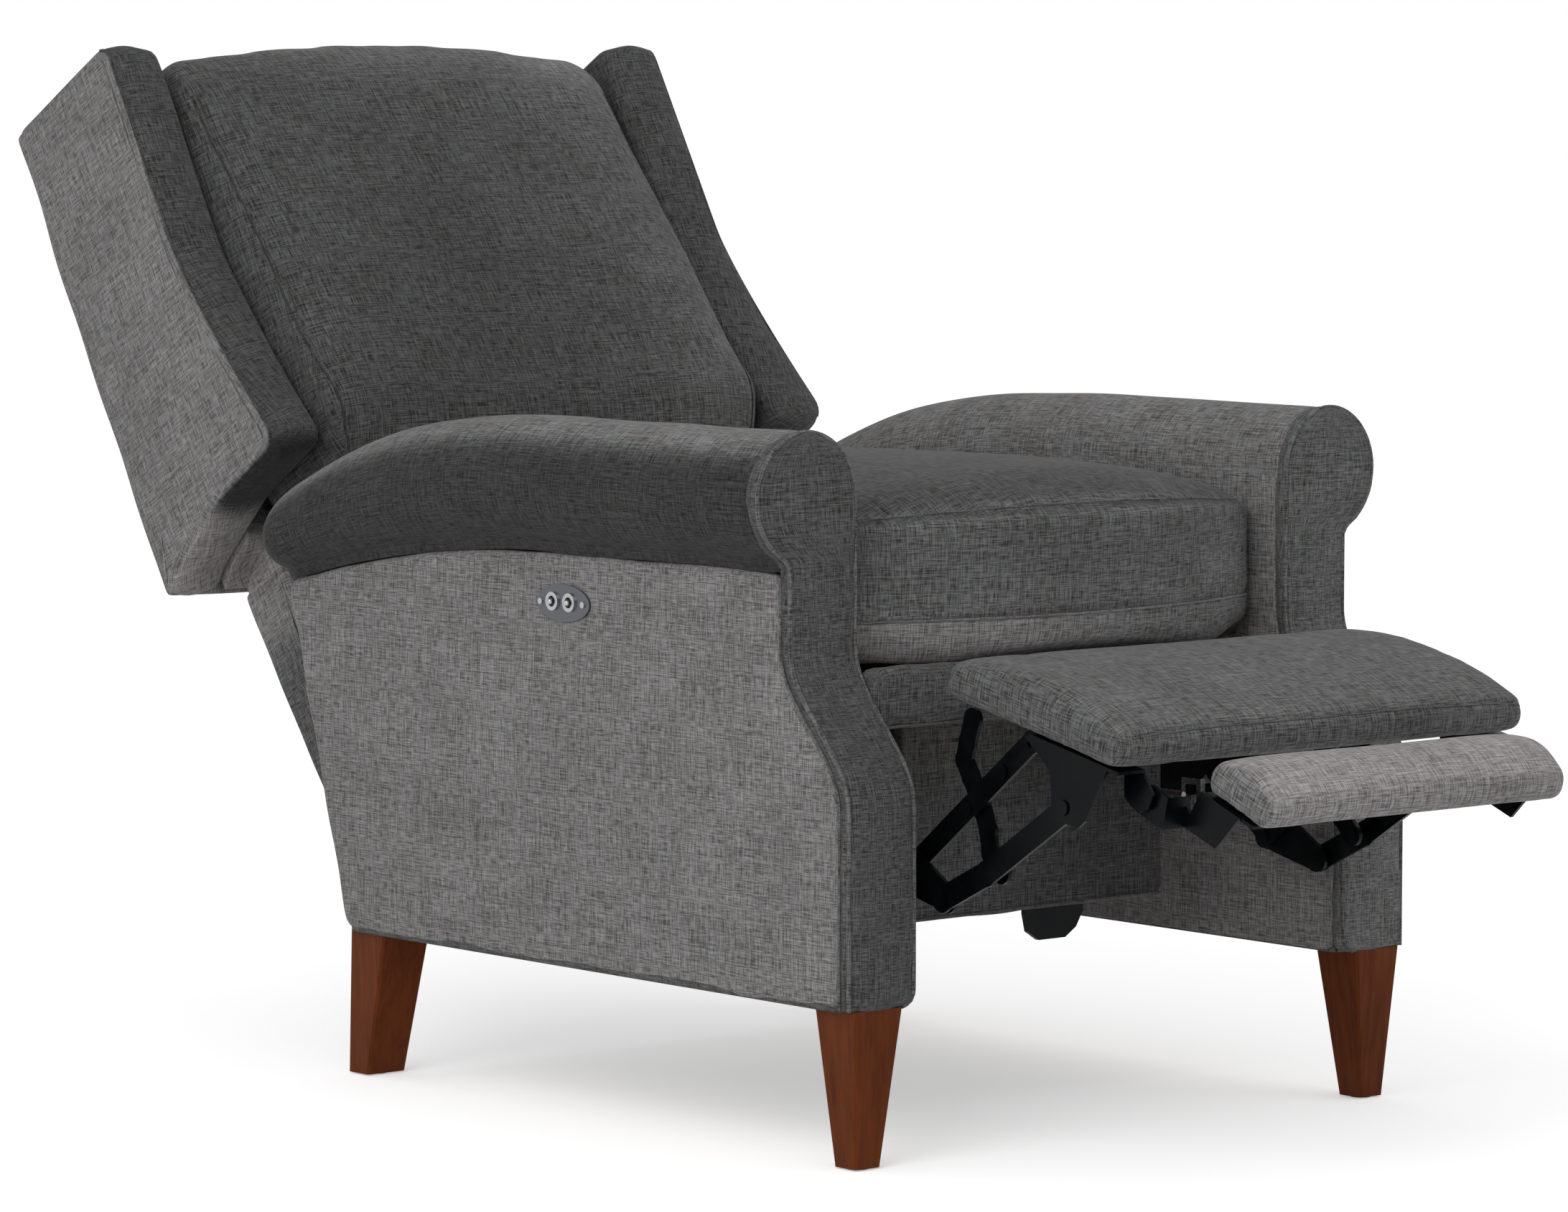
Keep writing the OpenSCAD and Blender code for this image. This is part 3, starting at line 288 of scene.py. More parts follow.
def dress_cad():
    """Gives each CAD node the material of its slot, and a fine bevel so that its edges catch the light."""
    slots = {p["node"]: p["material_slot"] for p in frame["record"]["subparts"]}
    for name, obj in frame["nodes"].items():
        obj.data.materials.clear()
        obj.data.materials.append(CAD_LOOKS[slots[name]])
        bevel = obj.modifiers.new("edge", "BEVEL")
        bevel.width = 0.0005
        bevel.segments = 2
        bevel.limit_method = "ANGLE"
        bevel.angle_limit = math.radians(40)


# Mesh tools


def make(name, points, faces, uv, body, tone, place=CHAIR, slot="fabric", material=CLOTH):
    """A smooth, closed piece from points, faces and a weave coordinate for each corner, riding on a body."""
    mesh = bpy.data.meshes.new(name)
    mesh.from_pydata([tuple(p) for p in np.asarray(points, float)], [], faces)
    layer = mesh.uv_layers.new(name="weave")
    layer.data.foreach_set("uv", np.asarray(uv, np.float32).ravel())
    mesh.transform(place)
    mesh.materials.append(material)
    outward(mesh)
    obj = added(name, mesh)
    paint(obj, tone)
    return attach(obj, body)


def outward(mesh):
    """Turns all faces outward and shades them smooth."""
    bm = bmesh.new()
    bm.from_mesh(mesh)
    bmesh.ops.recalc_face_normals(bm, faces=bm.faces)
    if bm.calc_volume(signed=True) < 0:
        bmesh.ops.reverse_faces(bm, faces=bm.faces)
    bm.to_mesh(mesh)
    bm.free()
    mesh.shade_smooth()


def vertex_values(obj, key):
    values = np.zeros(len(obj.data.vertices) * 3)
    obj.data.vertices.foreach_get(key, values)
    return values.reshape(-1, 3)


def coords(obj):
    return vertex_values(obj, "co")


def normals(obj):
    return vertex_values(obj, "normal")


def move(obj, co):
    obj.data.vertices.foreach_set("co", np.asarray(co, np.float32).ravel())
    obj.data.update()


def placed_at(points, place):
    """Points of the given frame, as the row frame has them."""
    m = np.array(place)
    return points @ m[:3, :3].T + m[:3, 3]


def local(points, place):
    """Points of the row frame, as the given frame has them."""
    return placed_at(points, place.inverted())


def paint(obj, tone):
    """Writes the piece's tone: a grey level, or a function of its points and normals in the row frame."""
    values = tone(coords(obj), normals(obj)) if callable(tone) else np.full(len(obj.data.vertices), tone)
    linear_values = np.interp(values, range(256), [linear(i) for i in range(256)])
    layer = obj.data.attributes.get("tone") or obj.data.attributes.new("tone", "FLOAT", "POINT")
    layer.data.foreach_set("value", linear_values.astype(np.float32))


def smooth_step(x, low, high):
    t = np.clip((x - low) / (high - low), 0, 1)
    return t * t * (3 - 2 * t)


def waves(points, length, seed, count=14):
    """A smooth random field of about unit size, whose bumps are about length across."""
    rng = np.random.default_rng(seed)
    directions = rng.normal(size=(count, 3))
    directions /= np.linalg.norm(directions, axis=1)[:, None]
    rates = 2 * np.pi / (length * rng.uniform(0.7, 1.6, count))
    return np.sin(points @ directions.T * rates + rng.uniform(0, 6.28, count)).sum(1) * math.sqrt(2 / count)


def ruffle(obj, amount, length, seed):
    """Moves the skin in and out a little, as soft filling does."""
    co = coords(obj)
    move(obj, co + normals(obj) * (amount * waves(co, length, seed))[:, None])


def loft(rings):
    """Points, faces and weave coordinates of a skin through rings, with both ends capped."""
    rings = np.asarray(rings, float)
    n, m = rings.shape[:2]
    u = np.concatenate([[0], np.cumsum(np.linalg.norm(np.roll(rings, -1, 1) - rings, axis=2).max(0))])
    v = np.concatenate([[0], np.cumsum(np.linalg.norm(np.diff(rings, axis=0), axis=2).max(1))])
    faces, uv = [], []
    for i in range(n - 1):
        for j in range(m):
            k = (j + 1) % m
            faces.append((i * m + j, (i + 1) * m + j, (i + 1) * m + k, i * m + k))
            uv += [(u[j], v[i]), (u[j], v[i + 1]), (u[j + 1], v[i + 1]), (u[j + 1], v[i])]
    points = [rings.reshape(-1, 3), rings[0].mean(0)[None], rings[-1].mean(0)[None]]
    for centre, first in ((n * m, 0), (n * m + 1, (n - 1) * m)):
        for j in range(m):
            faces.append((centre, first + j, first + (j + 1) % m))
            uv += [(0, 0), (u[j] * 0.3, 0.01), (u[j + 1] * 0.3, 0.01)]
    return np.concatenate(points), faces, uv


def resample(path, spacing, closed=False):
    """The path with even steps."""
    path = np.asarray(path, float)
    if closed:
        path = np.vstack([path, path[:1]])
    length = np.concatenate([[0], np.cumsum(np.linalg.norm(np.diff(path, axis=0), axis=1))])
    count = max(3, int(round(length[-1] / spacing)))
    at = np.linspace(0, length[-1], count, endpoint=not closed)
    return np.stack([np.interp(at, length, path[:, k]) for k in range(path.shape[1])], 1)


def soften(loop, passes):
    """Rounds the corners of a closed, evenly stepped loop."""
    for _ in range(passes):
        loop = (np.roll(loop, 1, 0) + 2 * loop + np.roll(loop, -1, 0)) / 4
    return loop


def rounded(corners, spacing, passes):
    """A closed loop through corners, which are rounded."""
    return soften(resample(corners, spacing, closed=True), passes)


def outward_2d(loop):
    """Outward unit normals of a closed loop in a plane, which runs either way round."""
    along = np.roll(loop, -1, 0) - np.roll(loop, 1, 0)
    normal = np.stack([along[:, 1], -along[:, 0]], 1)
    normal /= np.linalg.norm(normal, axis=1)[:, None]
    area = (loop[:, 0] * np.roll(loop[:, 1], -1) - np.roll(loop[:, 0], -1) * loop[:, 1]).sum()
    return normal if area > 0 else -normal


def shell(loop, profile, swell=(0.0, 0.0), inner=(0.9, 0.75, 0.55, 0.35, 0.15, 0.03)):
    """A padded slab. profile lists (inset, height) from one face over the rim to the other.

    Each face swells in its middle by swell, over the rings that inner gives as shares of the first.
    """
    normal = outward_2d(loop)
    centre = loop.mean(0)
    rows, flat = [], []

    def drawn_in(inset):
        softened_each = 0.0022
        return soften(loop - normal * inset, int(max(0, inset) / softened_each))

    def add(ring, height, reach):
        rows.append(np.column_stack([ring, np.full(len(ring), height)]))
        flat.append(ring + normal * reach)

    first = drawn_in(profile[0][0])
    last = drawn_in(profile[-1][0])
    for s in inner[::-1]:
        add(centre + (first - centre) * s, profile[0][1] - swell[0] * (1 - s**2.4), 0)
    reach = 0
    for i, (inset, height) in enumerate(profile):
        if i:
            reach += math.hypot(inset - profile[i - 1][0], height - profile[i - 1][1])
        rows.append(np.column_stack([drawn_in(inset), np.full(len(loop), height)]))
        flat.append(first + normal * reach)
    for s in inner:
        add(centre + (last - centre) * s, profile[-1][1] + swell[1] * (1 - s**2.4), 0)
    rows, flat = np.array(rows), np.array(flat)
    n, m = rows.shape[:2]
    turn = len(inner) + len(profile) - 1
    faces, uv = [], []
    for i in range(n - 1):
        start, end = (last if i == turn else flat[i]), flat[i + 1]
        for j in range(m):
            k = (j + 1) % m
            faces.append((i * m + j, (i + 1) * m + j, (i + 1) * m + k, i * m + k))
            uv += [start[j], end[j], end[k], start[k]]
    points = np.concatenate([rows.reshape(-1, 3), rows[0].mean(0)[None], rows[-1].mean(0)[None]])
    for middle, ring in ((n * m, 0), (n * m + 1, n - 1)):
        for j in range(m):
            faces.append((middle, ring * m + j, ring * m + (j + 1) % m))
            uv += [flat[ring].mean(0), flat[ring][j], flat[ring][(j + 1) % m]]
    return points, faces, np.array(uv)


def rim(thickness, radius):
    """A profile of (inset, height) over a rounded rim, from height 0 to thickness."""
    turn = np.linspace(0, math.pi / 2, 6)
    low = [(radius * (1 - math.sin(a)), radius * (1 - math.cos(a))) for a in turn]
    high = [(radius * (1 - math.cos(a)), thickness - radius * (1 - math.sin(a))) for a in turn]
    middle = [(0.0, radius + (thickness - 2 * radius) * t) for t in np.linspace(0, 1, 6)[1:-1]]
    return low + middle + high


def tube(name, path, radius, body, tone, place=CHAIR, closed=False):
    """A welt along a path."""
    path = np.asarray(path, float)
    if closed:
        path = np.vstack([path, path[:1]])
    along = np.gradient(path, axis=0)
    along /= np.linalg.norm(along, axis=1)[:, None]
    any_way = (0.31, 0.17, 0.93)
    side = np.cross(along[0], any_way)
    turn = np.linspace(0, 2 * math.pi, 8, endpoint=False)
    rings = []
    for p, t in zip(path, along):
        side = side - t * (side @ t)
        side /= np.linalg.norm(side)
        other = np.cross(t, side)
        rings.append(p + radius * (np.outer(np.cos(turn), side) + np.outer(np.sin(turn), other)))
    return make(name, *loft(rings), body, tone, place)


# Soft cushions

# How much of the blown-up shape shows; the rest is the plain one, because the filling holds the cover taut
WRINKLES = 0.5
PRESSURE = 4
CLOTH_FRAMES = 20


def inflated(node, name, tone, place, shrink, cap, voxel=0.005, rounding=12, calm=4, slot="fabric"):
    """A cushion: a copy of the CAD solid, shrunk, remeshed and blown up again as cloth by at most cap.

    rounding and calm are how often the skin is evened out before and after.
    """
    obj = added(name, frame["nodes"][node].data.copy())
    obj.data.materials.clear()
    obj.data.materials.append(CLOTH)
    co = local(coords(obj), place)
    low, high = co.min(0), co.max(0)
    middle = (low + high) / 2
    co = middle + (co - middle) * (1 - shrink / (high - low) * 2)
    move(obj, placed_at(co, place))
    remesh = obj.modifiers.new("remesh", "REMESH")
    remesh.mode = "VOXEL"
    remesh.voxel_size = voxel
    apply_modifiers(obj)
    relax(obj, rounding, 0.5)
    plain = coords(obj) + normals(obj) * shrink
    blow_up(obj, cap)
    move(obj, plain + WRINKLES * (coords(obj) - plain))
    relax(obj, calm, 0.5)
    subdivide = obj.modifiers.new("fine", "SUBSURF")
    subdivide.levels = subdivide.render_levels = 1
    apply_modifiers(obj)
    fit(obj, place, low, high)
    box_weave(obj, place)
    obj.data.shade_smooth()
    paint(obj, tone)
    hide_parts(node)
    return obj


def fit(obj, place, low, high):
    """Stretches a piece a little, so that it fills the box of its CAD solid."""
    co = local(coords(obj), place)
    own_low, own_high = co.min(0), co.max(0)
    co = low + (co - own_low) * (high - low) / (own_high - own_low)
    move(obj, placed_at(co, place))


def apply_modifiers(obj):
    graph = bpy.context.evaluated_depsgraph_get()
    mesh = bpy.data.meshes.new_from_object(obj.evaluated_get(graph))
    obj.modifiers.clear()
    obj.data = mesh


def relax(obj, passes, share):
    """Evens out the skin: each point moves a share of the way to the middle of its neighbours."""
    co = coords(obj)
    edges = np.zeros(len(obj.data.edges) * 2, int)
    obj.data.edges.foreach_get("vertices", edges)
    a, b = edges.reshape(-1, 2).T
    count = np.bincount(np.concatenate([a, b]), minlength=len(co))[:, None]
    for _ in range(passes):
        total = np.zeros_like(co)
        np.add.at(total, a, co[b])
        np.add.at(total, b, co[a])
        co = co + share * (total / count - co)
    move(obj, co)


def blow_up(obj, cap):
    """Runs the cloth under pressure, and lets no point move further than cap."""
    scene = bpy.context.scene
    start = coords(obj)
    cloth = obj.modifiers.new("cloth", "CLOTH")
    cloth.settings.use_pressure = True
    cloth.settings.uniform_pressure_force = PRESSURE
    cloth.settings.effector_weights.gravity = 0
    cloth.point_cache.frame_start = 1
    cloth.point_cache.frame_end = CLOTH_FRAMES
    for number in range(1, CLOTH_FRAMES + 1):
        scene.frame_set(number)
    graph = bpy.context.evaluated_depsgraph_get()
    end = coords(obj.evaluated_get(graph))
    obj.modifiers.remove(cloth)
    scene.frame_set(1)
    step = end - start
    length = np.linalg.norm(step, axis=1)
    move(obj, start + step * np.minimum(1, cap / np.maximum(length, 1e-9))[:, None])


def box_weave(obj, place):
    """Weave coordinates from the frame's own axes, by the way that each face looks."""
    co = local(coords(obj), place)
    mesh = obj.data
    for old in list(mesh.uv_layers):
        mesh.uv_layers.remove(old)
    starts = np.zeros(len(mesh.polygons), int)
    mesh.polygons.foreach_get("loop_total", starts)
    face_normals = np.zeros(len(mesh.polygons) * 3)
    mesh.polygons.foreach_get("normal", face_normals)
    facing = np.abs(face_normals.reshape(-1, 3) @ np.array(place)[:3, :3]).argmax(1)
    axis = np.repeat(facing, starts)
    corners = np.zeros(len(mesh.loops), int)
    mesh.loops.foreach_get("vertex_index", corners)
    p = co[corners]
    u = np.where(axis == 0, p[:, 1], p[:, 0])
    v = np.where(axis == 2, p[:, 1], p[:, 2])
    layer = mesh.uv_layers.new(name="weave")
    layer.data.foreach_set("uv", np.column_stack([u, v]).astype(np.float32).ravel())


def on_skin(obj, path, place, lift=0.0, middle=None):
    """The path's points on the piece's skin: along the line to the middle, or at the nearest place."""
    tree = BVHTree.FromObject(obj, bpy.context.evaluated_depsgraph_get())
    back = place.inverted()
    found = []
    for p in path:
        start = place @ Vector(p)
        hit = None
        if middle is not None:
            inward = (place @ Vector(middle(p)) - start).normalized()
            outside, reach = start - inward * 0.08, 0.2
            hit, normal, _, _ = tree.ray_cast(outside, inward, reach)
        if hit is None:
            hit, normal, _, _ = tree.find_nearest(start)
        found.append(back @ (hit + normal * lift))
    return np.array(found)


def sew(obj, path, place, depth, width, pucker, seed, middle=None):
    """Draws the skin in along a seam, with small puckers beside it."""
    spacing = 0.006
    line = placed_at(on_skin(obj, resample(path, spacing), place, 0.0, middle), place)
    co, no = coords(obj), normals(obj)
    nearest = np.full(len(co), 1e9)
    station = np.zeros(len(co))
    for i, p in enumerate(line):
        d = ((co - p) ** 2).sum(1)
        closer = d < nearest
        nearest[closer] = d[closer]
        station[closer] = i * spacing
    d = np.sqrt(nearest)
    groove = -depth * np.exp(-((d / width) ** 2))
    rng = np.random.default_rng(seed)
    lengths = (0.019, 0.027, 0.043)
    folds = sum(np.sin(station * 2 * math.pi / l + rng.uniform(0, 6)) for l in lengths) / len(lengths)
    folds = pucker * folds * np.exp(-d / (4 * width)) * (1 - np.exp(-((d / width) ** 2)))
    move(obj, co + no * (groove + folds)[:, None])


def seam(name, obj, path, place, body, tone, radius, closed=False, middle=None):
    """A sewn ridge that lies on a piece's skin."""
    line = on_skin(obj, resample(path, 0.008, closed), place, radius * 0.3, middle)
    if closed:
        line = soften(line, 2)
    return tube(name, line, radius, body, tone, place, closed)


# Arms


def ease(t):
    """Rises from 0 to 1 along a half wave."""
    return (1 - np.cos(np.pi * np.clip(t, 0, 1))) / 2


def front_y(z):
    """The arm's curved front: it runs back by setback below the roll, from curve_z on."""
    low_y, setback, curve_z, curve_height = -0.009, 0.081, 0.325, 0.14
    return low_y + setback * ease((np.asarray(z) - curve_z) / curve_height)


def seam_at(y):
    """The height of the seam below the roll, which falls behind the arm's middle."""
    level_y, drop = 0.400, 0.058
    return SEAM_Z - drop * np.maximum(0, (y - level_y) / (ROLL_REAR - level_y)) ** 2


def top_at(y):
    """The height of the roll's top, which falls behind the arm's middle."""
    level_y, drop = 0.350, 0.104
    return ARM_TOP - drop * np.maximum(0, (y - level_y) / (ROLL_REAR - level_y)) ** 3


def front_edges(z):
    """The X of the front panel's inner and outer edge at a height."""
    roll_z = ARM_TOP - ROLL_R
    chord = math.sqrt(max(0, ROLL_R**2 - (z - roll_z) ** 2))
    waist = roll_z - math.sqrt(ROLL_R**2 - (ARM_OUT - ROLL_X) ** 2)
    outer = ROLL_X + chord if z > waist else ARM_OUT
    inner = ROLL_X - chord if z > roll_z else ARM_IN
    below = LEG_H + FRONT_CORNER - z
    if below > 0:
        inner = ARM_IN + FRONT_CORNER - math.sqrt(max(0, FRONT_CORNER**2 - below**2))
    return inner, outer


def front_heights():
    """The heights of the front panel's sections, close together where its outline curves."""
    corner_z, roll_z = LEG_H + FRONT_CORNER, 0.585
    corner = np.linspace(LEG_H, corner_z, 6)[:-1]
    round_top = ARM_TOP - ROLL_R + ROLL_R * np.sin(np.linspace(-0.1, math.pi / 2, 20)[1:] * 0.995)
    return np.concatenate([corner, np.linspace(corner_z, roll_z, 54), round_top])


def front_ring(z):
    """The section of the arm's front panel at a height: its face, two rounded edges and its back."""
    inner, outer = front_edges(z)
    half = (outer - inner) / 2
    middle = (inner + outer) / 2
    r = min(0.007, half * 0.9)
    y = float(front_y(z))
    face = [(middle + t * (half - r), y - 0.003 * (1 - t**2), z) for t in np.linspace(-1, 1, 11)]
    turn = np.linspace(0, math.pi / 2, 4)[1:]
    right = [(outer - r + r * math.sin(a), y + r - r * math.cos(a), z) for a in turn]
    left = [(inner + r - r * math.cos(a), y + r - r * math.sin(a), z) for a in (0.0, 0.5)]
    return left + face + right + [(outer, y + FRONT_T, z), (inner, y + FRONT_T, z)]


def arm_front(side, name):
    """The padded panel on the front of the arm, with its welt."""
    rings = np.array([front_ring(z) for z in front_heights()])
    rings[:, :, 0] *= side
    # Painted light: the far arm's front is painted lighter than the near one, and each is painted lighter
    # low down.
    level = 77 if side < 0 else 88

    def tone(co, no):
        return level + (level - 74) * smooth_step(-co[:, 2], -0.45, -0.25)

    obj = make(name, *loft(rings), "base", tone)
    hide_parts(name.replace("_pad", ""))
    ruffle(obj, 0.0006, 0.05, 3)
    edge = [(*front_edges(z), z) for z in front_heights()[:-1]]
    inset, depth = 0.0026, 0.0022
    inner_line = [(side * (a + inset), float(front_y(z)) + depth, z) for a, b, z in edge]
    outer_line = [(side * (b - inset), float(front_y(z)) + depth, z) for a, b, z in edge]
    loop = resample(outer_line + inner_line[::-1], 0.006)
    tube(name + "_welt", loop, 0.0024, "base", 92)
    stitch = [(side * (b + 0.0004), float(front_y(z)) + FRONT_T, z) for a, b, z in edge if z < SEAM_Z]
    tube(name + "_ridge", resample(stitch, 0.006), 0.0014, "base", 94)


def roll_middle(y):
    """The height at which the roll is widest."""
    return float(top_at(y) - ROLL_RISE * (top_at(y) - seam_at(y)))


def side_loop(front_inset, inner):
    """The outline of an arm's side in Y and Z. The inner one runs up to the roll's widest place."""
    top_edge = roll_middle if inner else seam_at
    heights = np.linspace(LEG_H, float(top_edge(0.085)), 40)
    front = [(float(front_y(z)) + front_inset, z) for z in heights]
    top = [(y, float(top_edge(y))) for y in np.linspace(front[-1][0], ARM_REAR + 0.093, 24)[1:]]
    rear = [(ARM_REAR + 0.038, 0.292), (ARM_REAR, LEG_H)]
    return rounded(front + top + rear, 0.008, 3)


def arm_panel(side, node, inner):
    """One flat padded side of an arm."""
    thickness = 0.018
    profile = rim(thickness, 0.002 if inner else 0.005)
    points, faces, uv = shell(side_loop(FRONT_T + 0.001, inner), profile, (0.0, 0.0 if inner else 0.003))
    x = (ARM_IN + 0.0172 - points[:, 2]) if inner else (ARM_OUT - thickness + points[:, 2])
    placed = np.column_stack([side * x, points[:, 0], points[:, 1]])

    # Painted light: the outer side is painted light all over, and the inside is painted a little lighter low
    # down.
    def tone(co, no):
        return 114 + 8 * smooth_step(-co[:, 2], -0.56, -0.47) if inner else np.full(len(co), 117)

    obj = make(node + "_pad", placed, faces, uv, "base", tone, slot="side_fabric")
    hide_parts(node)
    ruffle(obj, 0.0002 if inner else 0.0007, 0.09, 5 if inner else 6)
    if side < 0 and not inner:
        press_round_switch(obj)


def press_round_switch(obj):
    """Holds the side panel back behind the switch plate."""
    co = coords(obj)
    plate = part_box("switch_plate")
    middle = (plate[0] + plate[1]) / 2
    half_length, half_height = 0.036, 0.010
    beside = np.maximum(0, abs(co[:, 1] - middle.y) - half_length)
    above = np.maximum(0, abs(co[:, 2] - middle.z) - half_height)
    d = np.hypot(beside, above)
    limit = ARM_OUT - 0.0004 + 0.004 * smooth_step(d, 0.012, 0.045)
    face = co[:, 0] < -ARM_OUT + 0.010
    co[face, 0] = np.maximum(co[face, 0], -limit[face])
    move(obj, co)


def roll_ring(side, y):
    """The section of an arm's roll at a place along it. Behind ROLL_END it closes to a round end."""
    z0, z1 = float(seam_at(y)) + 0.0003, float(top_at(y))
    rise = (z1 - z0) * ROLL_RISE
    centre_z = z1 - rise
    turn = np.radians(np.linspace(-64, 180, 44))
    arc = [(ROLL_X + ROLL_R * math.cos(a), centre_z + rise * math.sin(a)) for a in turn]
    inside = [(ARM_IN + 0.0005, z) for z in np.linspace(centre_z, z0, 6)[1:]]
    under = [(x, z0) for x in np.linspace(ARM_IN, ARM_OUT, 8)[1:]]
    ring = np.array(arc + inside + under)
    middle = np.array([ROLL_X - 0.008, z0 + 0.45 * (z1 - z0)])
    tuck = 1 - 0.05 * math.exp(-max(0, y - ROLL_FRONT) / 0.008)
    end = max(0.0, (y - ROLL_END) / (ROLL_REAR - ROLL_END))
    close = (1 - min(end, 0.995) ** 2.4) ** (1 / 2.4)
    ring = middle + (ring - middle) * min(tuck, close)
    return [(side * p[0], y, p[1]) for p in ring]


def arm_roll(side, node):
    """The padded roll on top of the arm, drawn in at its front seam and rounded at its rear end."""
    start = [ROLL_FRONT, 0.086, 0.094, 0.106, 0.122]
    end = ROLL_END + (ROLL_REAR - ROLL_END) * np.sin(np.linspace(0, math.pi / 2, 12)[1:])
    stations = np.concatenate([start, np.linspace(0.14, ROLL_END, 56), end])
    rings = [roll_ring(side, y) for y in stations]
    light = 112 if side > 0 else 110

    def tone(co, no):
        """Painted light and shade: lighter on top and inside, darker outside and below."""
        outward_side = smooth_step(no[:, 0] * side, 0.58, 0.95)
        below = smooth_step(-no[:, 2], -0.35, 0.0) * smooth_step(no[:, 0] * side, -0.2, 0.2)
        return light - (light - 54) * np.maximum(outward_side, below)

    obj = make(node + "_pad", *loft(rings), "base", tone)
    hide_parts(node)
    co, no = coords(obj), normals(obj)
    near_front = np.exp(-np.maximum(0, co[:, 1] - FEET_Y - 0.094) / 0.03)
    puckers = 0.0009 * near_front * np.sin(np.arctan2(co[:, 2] - 0.6, co[:, 0] - side * ROLL_X) * 26)
    move(obj, co + no * (puckers + 0.0004 * waves(co, 0.16, 8))[:, None])
    paint(obj, tone)


def arm_closings(side, name):
    """The cloth that closes the arm's rear, and the welt round its bottom."""
    edge = [(ARM_REAR - 0.004, LEG_H), (ARM_REAR + 0.034, 0.292), (ARM_REAR + 0.089, 0.476)]
    a, b = ARM_IN + 0.016, ARM_OUT - 0.016
    section = [(a, -0.008), (a, 0), ((a + b) / 2, 0.002), (b, 0), (b, -0.008)]
    rings = [[(side * x, y + behind, z) for x, behind in section] for y, z in resample(edge, 0.02)]
    rear = make(f"arm_rear_{name}", *loft(rings), "base", 98, slot="side_fabric")
    y0, y1 = float(front_y(LEG_H)) + FRONT_T, ARM_REAR - 0.004
    x0, x1 = ARM_IN + 0.004, ARM_OUT - 0.004
    loop = rounded([(x0, y0), (x1, y0), (x1, y1), (x0, y1)], 0.008, 3)
    path = np.column_stack([side * loop[:, 0], loop[:, 1], np.full(len(loop), LEG_H + 0.002)])
    tube(f"arm_welt_{name}", path, 0.0042, "base", 84, closed=True)


# Legs


def leg(node, foot, top, side):
    """A tapered square leg with eased edges. foot and top are (x0, x1, y0, y1)."""
    foot_z = 0.0015
    e = 0.0022
    rings = []
    for t in np.linspace(0, 1, 8):
        x0, x1, y0, y1 = ((1 - t) * f + t * g for f, g in zip(foot, top))
        z = foot_z + (LEG_H - foot_z) * t
        front = [(x0 + e, y0), (x1 - e, y0), (x1, y0 + e)]
        rear = [(x1, y1 - e), (x1 - e, y1), (x0 + e, y1), (x0, y1 - e)]
        rings.append([(side * x, y, z) for x, y in front + rear + [(x0, y0 + e)]])
    obj = make(node + "_wood", *loft(rings), "base", 120, slot="legs", material=LEG_WOOD)
    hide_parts(node)
    for polygon in obj.data.polygons:
        polygon.use_smooth = False


def build_legs():
    for side, word in SIDES:
        leg(f"leg_front_{word}", (0.305, 0.335, 0, 0.030), (0.288, 0.345, -0.011, 0.046), side)
        leg(f"leg_rear_{word}", (0.289, 0.335, 0.728, 0.760), (0.288, 0.345, 0.687, 0.742), side)


# Panels between the arms


def board_loop(x0, x1, z0, z1, passes):
    """A rectangle with rounded corners."""
    return rounded([(x0, z0), (x1, z0), (x1, z1), (x0, z1)], 0.006, passes)


def board(name, node, box, radius, tone, swell):
    """A padded board between the arms: box is ((x0, y0, z0), (x1, y1, z1)), and its front face swells."""
    (x0, y0, z0), (x1, y1, z1) = box
    points, faces, uv = shell(board_loop(x0, x1, z0, z1, 4), rim(y1 - y0, radius), (0.0, swell))
    placed = np.column_stack([points[:, 0], y1 - points[:, 2], points[:, 1]])
    obj = make(name, placed, faces, uv, "base", tone)
    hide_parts(node)
    return obj


def apron_tone(co, no):
    """Painted shade: darker towards the sitter's left, where the apron lies in shade behind the mechanism.
    """
    return 82 - 20 * smooth_step(co[:, 0], -0.12, 0.08)


def build_front():
    band_box = ((-0.2695, 0.050, 0.389), (0.2695, 0.0752, 0.4437))
    band = board("front_band_pad", "front_band", band_box, 0.008, 79, 0.003)
    ruffle(band, 0.0007, 0.05, 11)
    apron_box = ((-0.165, 0.130, 0.196), (0.165, 0.143, 0.4165))
    apron = board("front_apron_pad", "front_apron", apron_box, 0.003, apron_tone, 0.001)
    ruffle(apron, 0.0008, 0.08, 12)
    hem = [(x, 0.1295, 0.1985) for x in np.linspace(-0.163, 0.163, 40)]
    tube("apron_hem", hem, 0.0018, "base", 82)
    low_seam = [(x, 0.0515, 0.3905) for x in np.linspace(-0.267, 0.267, 60)]
    tube("band_seam", low_seam, 0.0016, "base", 80)
    build_seat_underside()


def underside_ring(x):
    """The section of the cloth under the seat's front. It stays above the front band."""
    band_y, band_z, band_slope = 0.0753, 0.4446, 0.64
    end_rise = 0.014 if x > 0 else 0.005
    y0 = 0.0510 + bow(x)
    depth = min(0.024 - 0.015 * float(smooth_step(abs(x), 0.09, 0.16)), RAIL_Y - y0)
    low = LIP_LOW + end_rise * float(smooth_step(abs(x), 0.19, 0.2545))
    ring = [(y0 - 0.0003, LIP_COVER)]
    for a in np.linspace(0, math.pi / 2, 10):
        y = y0 + depth * (1 - math.cos(a))
        z = LIP_TOP - (LIP_TOP - low) * math.sin(a)
        ring.append((y, max(z, band_z + band_slope * (band_y - y))))
    ring += [(RAIL_Y + 0.0004, LIP_LOW), (RAIL_Y + 0.0006, LIP_TOP), (y0 + 0.004, LIP_TOP)]
    return [(x, y, z) for y, z in ring]


